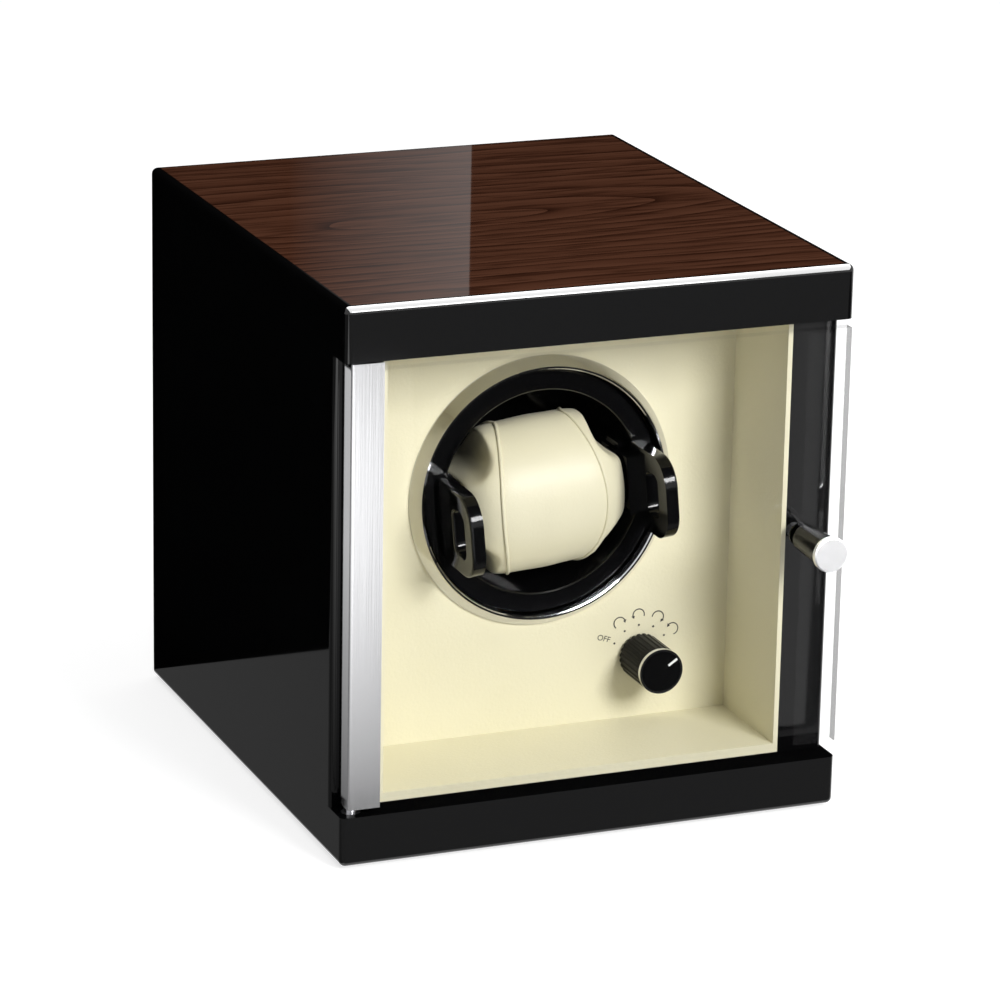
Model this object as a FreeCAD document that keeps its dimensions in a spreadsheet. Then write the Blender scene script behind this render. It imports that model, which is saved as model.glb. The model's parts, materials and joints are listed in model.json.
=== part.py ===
import FreeCAD, Part
import math
import os
import re
import Sketcher

# A watch winder box: a lacquered case, a clear door on pivots, and one geared drum with a watch pillow.
# Lengths are in millimetres. X runs right, Y runs back and Z runs up.
# The origin lies on the table, under the middle of the felt pad.

SIZES = {
    # Boards of the case
    "case_width": 160.0,
    "case_depth": 180.0,
    "case_height": 170.0,
    "top_thickness": 16.5,
    "base_thickness": 15.4,
    "wall_thickness": 15.0,
    "front_setback": 9.6,
    "edge_round": 2.0,
    "veneer_thickness": 0.5,
    "veneer_border": 2.6,
    "felt_thickness": 1.2,
    "felt_inset": 5.0,
    "rebate_width": 5.0,
    "rebate_depth": 6.0,
    "rear_thickness": 4.0,
    "rear_gap": 0.2,
    # Lined display space
    "side_lining": 1.5,
    "floor_lining": 2.8,
    "display_depth": 36.6,
    "panel_thickness": 3.0,
    # Fits
    "slip_gap": 0.1,
    "running_gap": 0.04,
    "press_gap": 0.01,
    # Bezel and drum
    "drum_height": 94.6,
    "drum_tilt": 5.5,
    "bezel_base_radius": 42.5,
    "bezel_lip_radius": 40.1,
    "bezel_bore_radius": 38.9,
    "bezel_height": 4.1,
    "bezel_spigot_wall": 1.5,
    "bezel_foot": 0.6,
    "bezel_lip_bevel": 0.3,
    "drum_gap": 0.5,
    "drum_recess": 2.9,
    "flange_thickness": 2.5,
    "flange_bevel": 0.8,
    "bead_height": 0.8,
    "bead_width": 1.4,
    "cup_radius": 32.0,
    "cup_wall": 1.7,
    "cup_depth": 35.0,
    "cup_floor": 2.5,
    "hub_radius": 7.0,
    "hub_length": 4.5,
    "rib_inset": 5.0,
    "rib_thickness": 2.0,
    "rib_short": 3.0,
    "guide_gap": 0.3,
    # Axle and its fittings
    "axle_radius": 3.0,
    "axle_end": 1.7,
    "axle_head_radius": 5.0,
    "axle_head_length": 2.0,
    "bush_wall": 1.46,
    "end_float": 0.3,
    "washer_thickness": 1.7,
    "washer_radius": 6.5,
    "clip_ring_radius": 5.0,
    "clip_ring_thickness": 0.8,
    "clip_ring_groove": 0.5,
    "cap_radius": 7.0,
    "cap_wall": 1.4,
    "cap_height": 3.4,
    "cap_roof": 1.0,
    # Gear pair
    "gear_module": 1.0,
    "gear_teeth": 60.0,
    "pinion_teeth": 16.0,
    "gear_width": 5.0,
    "pinion_shift": 0.5,
    "tooth_addendum": 0.9,
    "tooth_dedendum": 1.15,
    "tooth_slack": 0.16,
    "pressure_angle": 20.0,
    "gear_screw_circle": 18.0,
    # Motor, its plate and the cleats
    "plate_thickness": 3.0,
    "plate_side_gap": 1.5,
    "plate_margin": 14.0,
    "cleat_width": 12.0,
    "cleat_margin": 10.0,
    "plate_screw_rise": 14.0,
    "motor_shaft_radius": 2.0,
    "gearbox_radius": 17.0,
    "gearbox_length": 18.0,
    "gearbox_boss_radius": 5.0,
    "gearbox_screw_reach": 12.0,
    "shaft_depth": 11.0,
    "shaft_end_gap": 1.0,
    "motor_radius": 12.0,
    "motor_length": 25.0,
    "motor_bevel": 2.0,
    "motor_end_radius": 4.0,
    "motor_end_length": 2.0,
    # Control board
    "board_half_width": 30.0,
    "board_height": 38.0,
    "board_drop": 15.5,
    "board_standoff": 5.0,
    "board_thickness": 1.6,
    "spacer_inset": 4.0,
    "spacer_radius": 2.5,
    "spacer_tip_radius": 1.4,
    "spacer_tip_length": 3.2,
    "chip_half_width": 6.0,
    "chip_half_height": 4.0,
    "chip_thickness": 2.0,
    "capacitor_radius": 4.0,
    "capacitor_length": 9.0,
    "capacitor_side": 16.0,
    "capacitor_rise": 4.0,
    "plug_side": 17.0,
    "plug_drop": 9.0,
    "plug_half_width": 5.0,
    "plug_half_height": 3.0,
    "plug_length": 6.0,
    # Screws
    "screw_radius": 1.2,
    "screw_head_radius": 2.2,
    "screw_head_height": 1.4,
    "screw_length": 13.0,
    "rear_screw_inset": 12.0,
    # Mode switch and its knob
    "switch_inset": 45.5,
    "switch_height": 38.1,
    "switch_half": 8.5,
    "switch_depth": 13.0,
    "switch_bush_radius": 3.5,
    "switch_bush_length": 3.2,
    "switch_shaft_radius": 3.0,
    "switch_journal_radius": 2.4,
    "switch_journal_depth": 7.0,
    "nut_flats": 9.0,
    "nut_thickness": 2.0,
    "knob_radius": 7.1,
    "knob_length": 15.9,
    "knob_gap": 0.8,
    "knob_counterbore": 5.8,
    "knob_counterbore_depth": 3.6,
    "knob_bore_depth": 12.0,
    "knob_ring_width": 0.7,
    "knob_ring_length": 1.3,
    "knob_face_dip": 0.25,
    "flute_count": 24.0,
    "flute_radius": 0.55,
    "flute_depth": 0.35,
    "pointer_width": 0.7,
    "pointer_inner": 2.9,
    "pointer_height": 0.2,
    "pointer_angle": 34.0,
    # Door
    "stile_width": 10.0,
    "stile_depth": 8.6,
    "stile_side_inset": 2.0,
    "pivot_inset": 3.0,
    "stile_front_round": 1.0,
    "door_low": 4.9,
    "door_high": 2.9,
    "hinge_plate_thickness": 2.5,
    "pane_thickness": 3.5,
    "pane_dip": 0.9,
    "pane_gap": 0.05,
    "pane_bite": 3.6,
    "pivot_radius": 1.5,
    "pivot_grip": 10.0,
    "pivot_reach": 8.0,
    "pivot_bush_wall": 1.47,
    "pivot_bush_length": 9.0,
    "door_knob_inset": 12.5,
    "door_knob_height": 86.4,
    "door_knob_reach": 17.0,
    "door_knob_radius": 5.4,
    "door_knob_neck": 4.2,
    "door_knob_cap": 1.8,
    "door_knob_bevel": 0.4,
    "door_knob_step": 0.5,
    "door_screw_radius": 1.5,
    "door_screw_grip": 8.5,
    "door_screw_head_radius": 2.8,
    "door_screw_head_height": 2.0,
    "door_washer_radius": 3.6,
    "door_washer_thickness": 0.6,
    "magnet_radius": 2.3,
    "magnet_length": 4.0,
    # Power socket
    "socket_inset": 35.0,
    "socket_height": 22.0,
    "socket_radius": 4.0,
    "socket_flange_radius": 5.5,
    "socket_flange": 1.2,
    "socket_length": 12.0,
    "socket_bore_radius": 3.15,
    "socket_bore_depth": 10.0,
    "socket_pin_radius": 1.0,
    "socket_pin_length": 8.0,
    "socket_nut_flats": 11.0,
    # Pillow and its clips
    "pillow_proud": 10.1,
    "pillow_half_depth": 20.0,
    "pillow_half_height": 24.5,
    "pillow_half_width": 26.0,
    "pillow_drop": 2.0,
    "bite_radius": 10.0,
    "bite_side": 27.0,
    "bite_rise": 19.5,
    "core_half_depth": 7.0,
    "core_half_height": 8.0,
    "core_corner": 3.0,
    "core_wall": 1.6,
    "core_gap": 0.3,
    "clip_plate_thickness": 3.0,
    "clip_plate_half_height": 9.0,
    "clip_plate_front": 12.0,
    "clip_plate_back": 18.0,
    "loop_thickness": 4.2,
    "loop_front": 34.0,
    "loop_back": 9.0,
    "loop_half_height": 13.0,
    "loop_front_round": 9.0,
    "slot_front": 28.0,
    "slot_back": 19.0,
    "slot_half_height": 7.0,
    "slot_round": 3.0,
    "loop_edge_round": 0.8,
}

# Places that follow from the sizes above.
PLACES = {
    "half_width": "case_width / 2",
    "front": "-case_depth / 2",
    "back": "case_depth / 2",
    "under": "felt_thickness",
    "base_top": "under + base_thickness",
    "roof": "under + case_height",
    "roof_under": "roof - top_thickness",
    "wall_inner": "half_width - wall_thickness",
    "lined": "wall_inner - side_lining",
    "wall_front": "front + front_setback",
    "rebate_side": "wall_inner + rebate_width",
    "rear_front": "back - rebate_depth",
    "rear_back": "rear_front + rear_thickness",
    "panel_front": "wall_front + display_depth",
    "panel_back": "panel_front + panel_thickness",
    "drum_level": "under + drum_height",
    "lip_front": "panel_front - bezel_height",
    "spigot_radius": "bezel_bore_radius + bezel_spigot_wall",
    "flange_front": "lip_front + drum_recess",
    "flange_back": "flange_front + flange_thickness",
    "flange_radius": "bezel_bore_radius - drum_gap",
    "cup_face": "flange_front + cup_depth",
    "cup_back": "cup_face + cup_floor",
    "cup_outer": "cup_radius + cup_wall",
    "gear_back": "cup_back + gear_width",
    "hub_back": "gear_back + hub_length",
    "plate_front": "hub_back + end_float + washer_thickness",
    "plate_back": "plate_front + plate_thickness",
    "bush_bore": "axle_radius + running_gap",
    "bush_radius": "bush_bore + bush_wall",
    "clip_ring_front": "cup_face - end_float - clip_ring_thickness",
    "gear_pitch_radius": "gear_module * gear_teeth / 2",
    "pinion_pitch_radius": "gear_module * pinion_teeth / 2",
    "gear_distance": "gear_pitch_radius + pinion_pitch_radius",
    "motor_level": "drum_level - gear_distance",
    "gearbox_back": "plate_back + gearbox_length",
    "motor_back": "gearbox_back + motor_length",
    "plate_half_width": "wall_inner - plate_side_gap",
    "plate_low": "base_top + plate_margin",
    "plate_high": "roof_under - plate_margin",
    "cleat_inner": "wall_inner - cleat_width",
    "cleat_middle": "wall_inner - cleat_width / 2",
    "board_front": "plate_back + board_standoff",
    "board_back": "board_front + board_thickness",
    "board_top": "roof_under - board_drop",
    "board_bottom": "board_top - board_height",
    "board_middle": "(board_top + board_bottom) / 2",
    "switch_side": "half_width - switch_inset",
    "switch_level": "under + switch_height",
    "switch_bush_front": "panel_front - switch_bush_length",
    "knob_back": "panel_front - knob_gap",
    "knob_front": "knob_back - knob_length",
    "knob_face": "knob_front + knob_face_dip",
    "knob_seat": "knob_back - knob_counterbore_depth",
    "knob_bore_end": "knob_back - knob_bore_depth",
    "knob_ring_back": "knob_front + knob_ring_length",
    "knob_ring_inner": "knob_radius - knob_ring_width",
    "stile_left": "-half_width + stile_side_inset",
    "stile_right": "stile_left + stile_width",
    "stile_back": "front + stile_depth",
    "pivot_side": "stile_left + pivot_inset",
    "pivot_depth": "stile_back - pivot_inset",
    "pane_front": "front + pane_dip",
    "pane_back": "pane_front + pane_thickness",
    "pane_left": "stile_right - pane_bite",
    "door_bottom": "base_top + door_low",
    "door_top": "roof_under - door_high",
    "pivot_bush_radius": "pivot_radius + running_gap + pivot_bush_wall",
    "door_knob_side": "half_width - door_knob_inset",
    "door_knob_level": "under + door_knob_height",
    "door_knob_front": "pane_front - door_knob_reach - pane_dip",
    "door_knob_cap_back": "door_knob_front + door_knob_cap",
    "socket_side": "half_width - socket_inset",
    "socket_level": "under + socket_height",
    "pillow_middle": "lip_front - pillow_proud + pillow_half_depth",
    "clip_inner": "pillow_half_width + core_gap",
    "clip_outer": "clip_inner + clip_plate_thickness",
    "loop_outer": "clip_outer + loop_thickness",
}

# Two places closer than this count as one place.
SAME = 0.001

doc = FreeCAD.newDocument("watch_winder_box")
sheet = doc.addObject("Spreadsheet::Sheet", "sizes")
for row, (alias, size) in enumerate(SIZES.items(), start=1):
    sheet.set(f"A{row}", alias)
    sheet.set(f"B{row}", str(size))
    sheet.setAlias(f"B{row}", alias)
doc.recompute()

SUBPARTS = []


def formula(text):
    """Spell a line of plain names as an expression on the sheet."""

    def spell(match):
        word = match.group(0)
        if word in PLACES:
            return "(" + formula(PLACES[word]) + ")"
        if word in SIZES:
            return "sizes." + word
        return word

    return re.sub(r"[a-z][a-z0-9_]*", spell, text)


def number(text):
    """The value of a line of plain names."""
    return float(sheet.evalExpression(formula(text)))


def bind(item, name, text):
    """Tie one property of an object to the sheet."""
    item.setExpression(name, formula(text))


def keep(item, label):
    """Give a finished piece its name and list it for export."""
    item.Label = label
    SUBPARTS.append(item)
    return item


def set_place(item, x="0", y="0", z="0"):
    """Tie the position of an object to the sheet."""
    for axis, text in zip("xyz", (x, y, z)):
        bind(item, f"Placement.Base.{axis}", text)


def set_on_drum(item):
    """Turn an object with the drum and set it on the drum's axis."""
    item.Placement = FreeCAD.Placement(FreeCAD.Vector(), FreeCAD.Rotation(FreeCAD.Vector(0, -1, 0), 1.0))
    bind(item, "Placement.Rotation.Angle", "drum_tilt")
    set_place(item, z="drum_level")


def block(name, x, y, z):
    """A squared solid between two places on each axis."""
    item = doc.addObject("Part::Box", name)
    for size, (low, high) in zip(("Length", "Width", "Height"), (x, y, z)):
        bind(item, size, f"({high}) - ({low})")
    set_place(item, x[0], y[0], z[0])
    return item


def rod(name, axis, radius, ends, x="0", y="0", z="0"):
    """A round bar along Y or Z between two places on its own axis."""
    item = doc.addObject("Part::Cylinder", name)
    bind(item, "Radius", radius)
    bind(item, "Height", f"({ends[1]}) - ({ends[0]})")
    if axis == "y":
        item.Placement = FreeCAD.Placement(FreeCAD.Vector(), FreeCAD.Rotation(FreeCAD.Vector(1, 0, 0), -90))
        set_place(item, x, ends[0], z)
    else:
        set_place(item, x, y, ends[0])
    return item


def cut(name, base, tool):
    """One solid with another taken out of it."""
    item = doc.addObject("Part::Cut", name)
    item.Base = base
    item.Tool = tool
    return item


def hex_nut(label, flats, thickness, bore, x, y, z):
    """A plain hexagon nut on a bush along Y."""
    blank = doc.addObject("Part::Prism", label + "_blank")
    blank.Polygon = 6
    bind(blank, "Circumradius", f"({flats}) / sqrt(3)")
    bind(blank, "Height", thickness)
    blank.Placement = FreeCAD.Placement(FreeCAD.Vector(), FreeCAD.Rotation(FreeCAD.Vector(1, 0, 0), -90))
    set_place(blank, x, y, z)
    hole = rod(label + "_hole", "y", bore, (f"({y}) - 1", f"({y}) + ({thickness}) + 1"), x=x, z=z)
    return keep(cut(label, blank, hole), label)


def plane_of(body, role):
    """One of a body's own three planes."""
    return next(item for item in body.Origin.OriginFeatures if item.Role == role)


def sketch_on(body, role, name, offset="0"):
    """An empty sketch on a body's own plane, moved along the plane's normal."""
    sketch = body.newObject("Sketcher::SketchObject", name)
    sketch.AttachmentSupport = [(plane_of(body, role), "")]
    sketch.MapMode = "FlatFace"
    bind(sketch, "AttachmentOffset.Base.z", offset)
    return sketch


def tie_point(sketch, edge, point, u, v):
    """Fix one point of a sketch by two lines of plain names."""
    for kind, text in (("DistanceX", u), ("DistanceY", v)):
        row = sketch.addConstraint(Sketcher.Constraint(kind, -1, 1, edge, point, number(text)))
        sketch.setExpression(f"Constraints[{row}]", formula(text))


def draw_polygon(sketch, corners):
    """A closed outline of straight lines, each corner tied to the sheet."""
    first = sketch.GeometryCount
    count = len(corners)
    places = [FreeCAD.Vector(number(u), number(v), 0) for u, v in corners]
    for index in range(count):
        sketch.addGeometry(Part.LineSegment(places[index], places[(index + 1) % count]), False)
    for index in range(count):
        following = first + (index + 1) % count
        sketch.addConstraint(Sketcher.Constraint("Coincident", first + index, 2, following, 1))
    for index, (u, v) in enumerate(corners):
        tie_point(sketch, first + index, 1, u, v)


def draw_circle(sketch, u, v, radius):
    """A circle with its middle and radius tied to the sheet."""
    middle = FreeCAD.Vector(number(u), number(v), 0)
    edge = sketch.addGeometry(Part.Circle(middle, FreeCAD.Vector(0, 0, 1), number(radius)), False)
    tie_point(sketch, edge, 3, u, v)
    row = sketch.addConstraint(Sketcher.Constraint("Radius", edge, number(radius)))
    sketch.setExpression(f"Constraints[{row}]", formula(radius))


def rectangle(x, y):
    """The four corners of an upright rectangle."""
    return [(x[0], y[0]), (x[1], y[0]), (x[1], y[1]), (x[0], y[1])]


def pad(body, sketch, length, symmetric=False):
    """Raise a sketch into a solid along its normal."""
    feature = body.newObject("PartDesign::Pad", sketch.Name + "_pad")
    feature.Profile = sketch
    bind(feature, "Length", length)
    if symmetric:
        feature.SideType = "Symmetric"
    doc.recompute()
    return feature


def pocket(body, sketch, depth=None, reverse=False):
    """Sink a sketch into the body, right through it where no depth is given."""
    feature = body.newObject("PartDesign::Pocket", sketch.Name + "_pocket")
    feature.Profile = sketch
    feature.Reversed = reverse
    if depth is None:
        feature.Type = "ThroughAll"
        feature.SideType = "Symmetric"
    else:
        bind(feature, "Length", depth)
    doc.recompute()
    return feature


def round_edges(body, base, name, radius, wanted):
    """Round the edges of a feature that pass a test."""
    names = [f"Edge{index}" for index, edge in enumerate(base.Shape.Edges, start=1) if wanted(edge)]
    feature = body.newObject("PartDesign::Fillet", name)
    feature.Base = (base, names)
    bind(feature, "Radius", radius)
    doc.recompute()
    return feature


def is_along(edge, axis):
    """Whether a straight edge runs along one axis."""
    box = edge.BoundBox
    spans = {"x": box.XLength, "y": box.YLength, "z": box.ZLength}
    across = [span for name, span in spans.items() if name != axis]
    return spans[axis] > 0.5 and max(across) < SAME


def at_level(edge, level):
    """Whether an edge lies flat at one height."""
    return abs(edge.BoundBox.ZMin - level) < SAME and abs(edge.BoundBox.ZMax - level) < SAME


def new_body(name):
    """An empty body."""
    return doc.addObject("PartDesign::Body", name)


def plate(label, outline, holes, near, far):
    """An upright board facing front, with round holes through it."""
    body = new_body(label)
    sketch = sketch_on(body, "XZ_Plane", label + "_outline", f"-({far})")
    draw_polygon(sketch, outline)
    for x, z, radius in holes:
        draw_circle(sketch, x, z, radius)
    pad(body, sketch, f"({far}) - ({near})")
    return keep(body, label)


def turned(label, profile, x="0", z="0"):
    """A piece turned about a line along Y; the profile gives places along Y and radii."""
    body = new_body(label)
    sketch = sketch_on(body, "YZ_Plane", label + "_profile")
    draw_polygon(sketch, profile)
    feature = body.newObject("PartDesign::Revolution", label + "_turn")
    feature.Profile = sketch
    feature.ReferenceAxis = (sketch, ["H_Axis"])
    feature.Angle = 360
    set_place(body, x=x, z=z)
    doc.recompute()
    return keep(body, label)


def tube(label, inner, outer, ends, x="0", z="0"):
    """A plain sleeve along Y."""
    profile = [(ends[0], inner), (ends[0], outer), (ends[1], outer), (ends[1], inner)]
    return turned(label, profile, x, z)


def turned_shape(profile):
    """The bare solid of a turned profile, for pieces that come in sets."""
    corners = [FreeCAD.Vector(0, number(y), number(radius)) for y, radius in profile]
    face = Part.Face(Part.makePolygon(corners + corners[:1]))
    return face.revolve(FreeCAD.Vector(), FreeCAD.Vector(0, 1, 0), 360)


def group(label, profile, places):
    """A set of identical turned pieces kept together as one node."""
    single = turned_shape(profile)
    copies = [single.translated(FreeCAD.Vector(number(x), 0, number(z))) for x, z in places]
    item = doc.addObject("Part::Feature", label)
    item.Shape = Part.makeCompound(copies)
    return keep(item, label)


def screw_profile(seat, length, facing, radius="screw_radius"):
    """A round-headed screw along Y, its head on the side given by facing (1 back, -1 front)."""
    tip = f"({seat}) - ({facing}) * ({length})"
    top = f"({seat}) + ({facing}) * screw_head_height"
    shoulder = f"({seat}) + ({facing}) * screw_head_height * 0.45"
    return [
        (tip, "0"),
        (tip, radius),
        (seat, radius),
        (seat, "screw_head_radius"),
        (shoulder, "screw_head_radius"),
        (top, "screw_head_radius * 0.6"),
        (top, "0"),
    ]


# Case boards
# The base and the top overhang the set-back walls, so the door lies between them.

base = new_body("base_board")
base_outline = sketch_on(base, "XY_Plane", "base_outline")
draw_polygon(base_outline, rectangle(("-half_width", "half_width"), ("front", "back")))
base_pad = pad(base, base_outline, "base_thickness")
round_edges(
    base, base_pad, "base_rounding", "edge_round",
    lambda edge: is_along(edge, "z") or at_level(edge, 0.0),
)
base_pivot = sketch_on(base, "XY_Plane", "base_pivot_seat", "base_thickness")
draw_circle(base_pivot, "pivot_side", "pivot_depth", "pivot_bush_radius + press_gap")
pocket(base, base_pivot, "pivot_bush_length")
set_place(base, z="under")
keep(base, "base_board")

top = new_body("top_board")
top_outline = sketch_on(top, "XY_Plane", "top_outline")
draw_polygon(top_outline, rectangle(("-half_width", "half_width"), ("front", "back")))
top_pad = pad(top, top_outline, "top_thickness")
round_edges(
    top, top_pad, "top_rounding", "edge_round",
    lambda edge: is_along(edge, "z") or at_level(edge, number("top_thickness")),
)
veneer_seat = sketch_on(top, "XY_Plane", "veneer_seat", "top_thickness")
VENEER_OUTLINE = rectangle(
    ("-half_width + veneer_border", "half_width - veneer_border"),
    ("front + veneer_border", "back - veneer_border"),
)
draw_polygon(veneer_seat, VENEER_OUTLINE)
pocket(top, veneer_seat, "veneer_thickness")
top_pivot = sketch_on(top, "XY_Plane", "top_pivot_seat")
draw_circle(top_pivot, "pivot_side", "pivot_depth", "pivot_bush_radius + press_gap")
pocket(top, top_pivot, "pivot_bush_length", reverse=True)
set_place(top, z="roof_under")
keep(top, "top_board")

veneer = new_body("walnut_veneer")
veneer_outline = sketch_on(veneer, "XY_Plane", "veneer_outline")
draw_polygon(veneer_outline, VENEER_OUTLINE)
pad(veneer, veneer_outline, "veneer_thickness")
set_place(veneer, z="roof - veneer_thickness")
keep(veneer, "walnut_veneer")

felt = block(
    "felt_base_pad",
    ("-half_width + felt_inset", "half_width - felt_inset"),
    ("front + felt_inset", "back - felt_inset"),
    ("0", "felt_thickness"),
)
keep(felt, "felt_base_pad")

REAR_SCREW_LEVELS = (
    "base_top + rear_screw_inset",
    "(base_top + roof_under) / 2",
    "roof_under - rear_screw_inset",
)
REAR_SCREW_SIDE = "wall_inner + rebate_width / 2"


def side_wall(label, side):
    """One wall between base and top, with a rebate at the back for the rear panel."""
    body = new_body(label)
    sketch = sketch_on(body, "XY_Plane", label + "_outline")
    corners = [
        ("wall_inner", "wall_front"),
        ("half_width", "wall_front"),
        ("half_width", "back"),
        ("rebate_side", "back"),
        ("rebate_side", "rear_front"),
        ("wall_inner", "rear_front"),
    ]
    draw_polygon(sketch, [(f"{side} * ({x})", y) for x, y in corners])
    raised = pad(body, sketch, "roof_under - base_top")
    outer = side * number("half_width")
    round_edges(
        body, raised, label + "_rounding", "edge_round",
        lambda edge: is_along(edge, "z") and abs(edge.BoundBox.XMin - outer) < SAME,
    )
    holes = sketch_on(body, "XZ_Plane", label + "_screw_holes", "-(rear_front)")
    for level in REAR_SCREW_LEVELS:
        draw_circle(holes, f"{side} * ({REAR_SCREW_SIDE})", f"{level} - base_top", "screw_radius + slip_gap")
    pocket(body, holes, "screw_length", reverse=True)
    if side > 0:
        seat = sketch_on(body, "XZ_Plane", label + "_magnet_seat", "-(wall_front)")
        draw_circle(seat, "door_knob_side", "door_knob_level - base_top", "magnet_radius + press_gap")
        pocket(body, seat, "magnet_length")
    set_place(body, z="base_top")
    return keep(body, label)


side_wall("side_wall_left", -1)
side_wall("side_wall_right", 1)
keep(
    rod(
        "catch_magnet", "y", "magnet_radius", ("wall_front", "wall_front + magnet_length"),
        x="door_knob_side", z="door_knob_level",
    ),
    "catch_magnet",
)

# Rear panel and the power socket

REAR_SCREW_PLACES = [
    (f"{side} * ({REAR_SCREW_SIDE})", level) for side in (-1, 1) for level in REAR_SCREW_LEVELS
]
plate(
    "rear_panel",
    rectangle(
        ("-rebate_side + rear_gap", "rebate_side - rear_gap"),
        ("base_top + rear_gap", "roof_under - rear_gap"),
    ),
    [(x, z, "screw_radius + slip_gap") for x, z in REAR_SCREW_PLACES]
    + [("socket_side", "socket_level", "socket_radius + slip_gap")],
    "rear_front",
    "rear_back",
)
group(
    "rear_panel_screws",
    screw_profile("rear_back", "screw_length", 1),
    REAR_SCREW_PLACES,
)
SOCKET_FLOOR = "rear_back + socket_flange - socket_bore_depth"
turned(
    "dc_socket",
    [
        ("rear_back - socket_length", "0"),
        ("rear_back - socket_length", "socket_radius"),
        ("rear_back", "socket_radius"),
        ("rear_back", "socket_flange_radius"),
        ("rear_back + socket_flange", "socket_flange_radius"),
        ("rear_back + socket_flange", "socket_bore_radius"),
        (SOCKET_FLOOR, "socket_bore_radius"),
        (SOCKET_FLOOR, "socket_pin_radius"),
        (f"{SOCKET_FLOOR} + socket_pin_length", "socket_pin_radius"),
        (f"{SOCKET_FLOOR} + socket_pin_length", "0"),
    ],
    "socket_side",
    "socket_level",
)
hex_nut(
    "dc_socket_nut", "socket_nut_flats", "nut_thickness", "socket_radius + running_gap",
    "socket_side", "rear_front - nut_thickness", "socket_level",
)

# Lining of the display space

LINING_DEPTH = ("wall_front", "panel_front")
keep(
    block("lining_left", ("-wall_inner", "-lined"), LINING_DEPTH, ("base_top", "roof_under")),
    "lining_left",
)
keep(
    block("lining_right", ("lined", "wall_inner"), LINING_DEPTH, ("base_top", "roof_under")),
    "lining_right",
)
keep(
    block("lining_floor", ("-lined", "lined"), LINING_DEPTH, ("base_top", "base_top + floor_lining")),
    "lining_floor",
)
keep(
    block("lining_ceiling", ("-lined", "lined"), LINING_DEPTH, ("roof_under - side_lining", "roof_under")),
    "lining_ceiling",
)
plate(
    "front_panel",
    rectangle(("-wall_inner", "wall_inner"), ("base_top", "roof_under")),
    [
        ("0", "drum_level", "spigot_radius + slip_gap"),
        ("switch_side", "switch_level", "switch_bush_radius + slip_gap"),
    ],
    "panel_front",
    "panel_back",
)
turned(
    "bezel_ring",
    [
        ("panel_back", "bezel_bore_radius"),
        ("panel_back", "spigot_radius"),
        ("panel_front", "spigot_radius"),
        ("panel_front", "bezel_base_radius"),
        ("panel_front - bezel_foot", "bezel_base_radius"),
        ("lip_front + bezel_lip_bevel", "bezel_lip_radius"),
        ("lip_front", "bezel_lip_radius - bezel_lip_bevel"),
        ("lip_front", "bezel_bore_radius + bezel_lip_bevel"),
        ("lip_front + bezel_lip_bevel", "bezel_bore_radius"),
    ],
    z="drum_level",
)

# Motor plate on its two cleats

PLATE_SCREW_LEVELS = ("plate_low + plate_screw_rise", "plate_high - plate_screw_rise")
PLATE_SCREW_PLACES = [(f"{side} * (cleat_middle)", level) for side in (-1, 1) for level in PLATE_SCREW_LEVELS]


def cleat(label, side):
    """A batten on the inside of a wall that carries one end of the motor plate."""
    ends = ("cleat_inner", "wall_inner") if side > 0 else ("-wall_inner", "-cleat_inner")
    outline = rectangle(ends, ("base_top + cleat_margin", "roof_under - cleat_margin"))
    holes = [(f"{side} * (cleat_middle)", level, "screw_radius + slip_gap") for level in PLATE_SCREW_LEVELS]
    return plate(label, outline, holes, "panel_back", "plate_front")


cleat("cleat_left", -1)
cleat("cleat_right", 1)
GEARBOX_SCREW_PLACES = [(f"{side} * gearbox_screw_reach", "motor_level") for side in (-1, 1)]
SPACER_PLACES = [
    (f"{side} * (board_half_width - spacer_inset)", level)
    for side in (-1, 1)
    for level in ("board_bottom + spacer_inset", "board_top - spacer_inset")
]
plate(
    "motor_plate",
    rectangle(("-plate_half_width", "plate_half_width"), ("plate_low", "plate_high")),
    [
        ("0", "drum_level", "axle_radius + press_gap"),
        ("0", "motor_level", "gearbox_boss_radius + slip_gap"),
    ]
    + [(x, z, "screw_radius + slip_gap") for x, z in PLATE_SCREW_PLACES + GEARBOX_SCREW_PLACES],
    "plate_front",
    "plate_back",
)
group(
    "motor_plate_screws",
    screw_profile("plate_back", "screw_length", 1),
    PLATE_SCREW_PLACES,
)
turned(
    "drum_axle",
    [
        ("cup_face - axle_end", "0"),
        ("cup_face - axle_end", "axle_radius"),
        ("clip_ring_front - running_gap", "axle_radius"),
        ("clip_ring_front - running_gap", "axle_radius - clip_ring_groove"),
        ("clip_ring_front + clip_ring_thickness + running_gap", "axle_radius - clip_ring_groove"),
        ("clip_ring_front + clip_ring_thickness + running_gap", "axle_radius"),
        ("plate_back", "axle_radius"),
        ("plate_back", "axle_head_radius"),
        ("plate_back + axle_head_length", "axle_head_radius"),
        ("plate_back + axle_head_length", "0"),
    ],
    z="drum_level",
)
tube(
    "thrust_washer", "axle_radius + slip_gap", "washer_radius",
    ("plate_front - washer_thickness", "plate_front"),
    z="drum_level",
)

# The clip ring is open on one side, so that it snaps into the axle's groove.
ring_blank = rod(
    "axle_clip_blank", "y", "clip_ring_radius", ("clip_ring_front", "clip_ring_front + clip_ring_thickness"),
    z="drum_level",
)
ring_bore = rod(
    "axle_clip_bore", "y", "axle_radius - clip_ring_groove + running_gap",
    ("clip_ring_front - 1", "clip_ring_front + clip_ring_thickness + 1"),
    z="drum_level",
)
ring_mouth = block(
    "axle_clip_mouth",
    ("-axle_radius * 0.7", "axle_radius * 0.7"),
    ("clip_ring_front - 1", "clip_ring_front + clip_ring_thickness + 1"),
    ("drum_level - clip_ring_radius - 1", "drum_level"),
)
keep(cut("axle_clip", cut("axle_clip_ring", ring_blank, ring_bore), ring_mouth), "axle_clip")

# Gear motor

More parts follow.
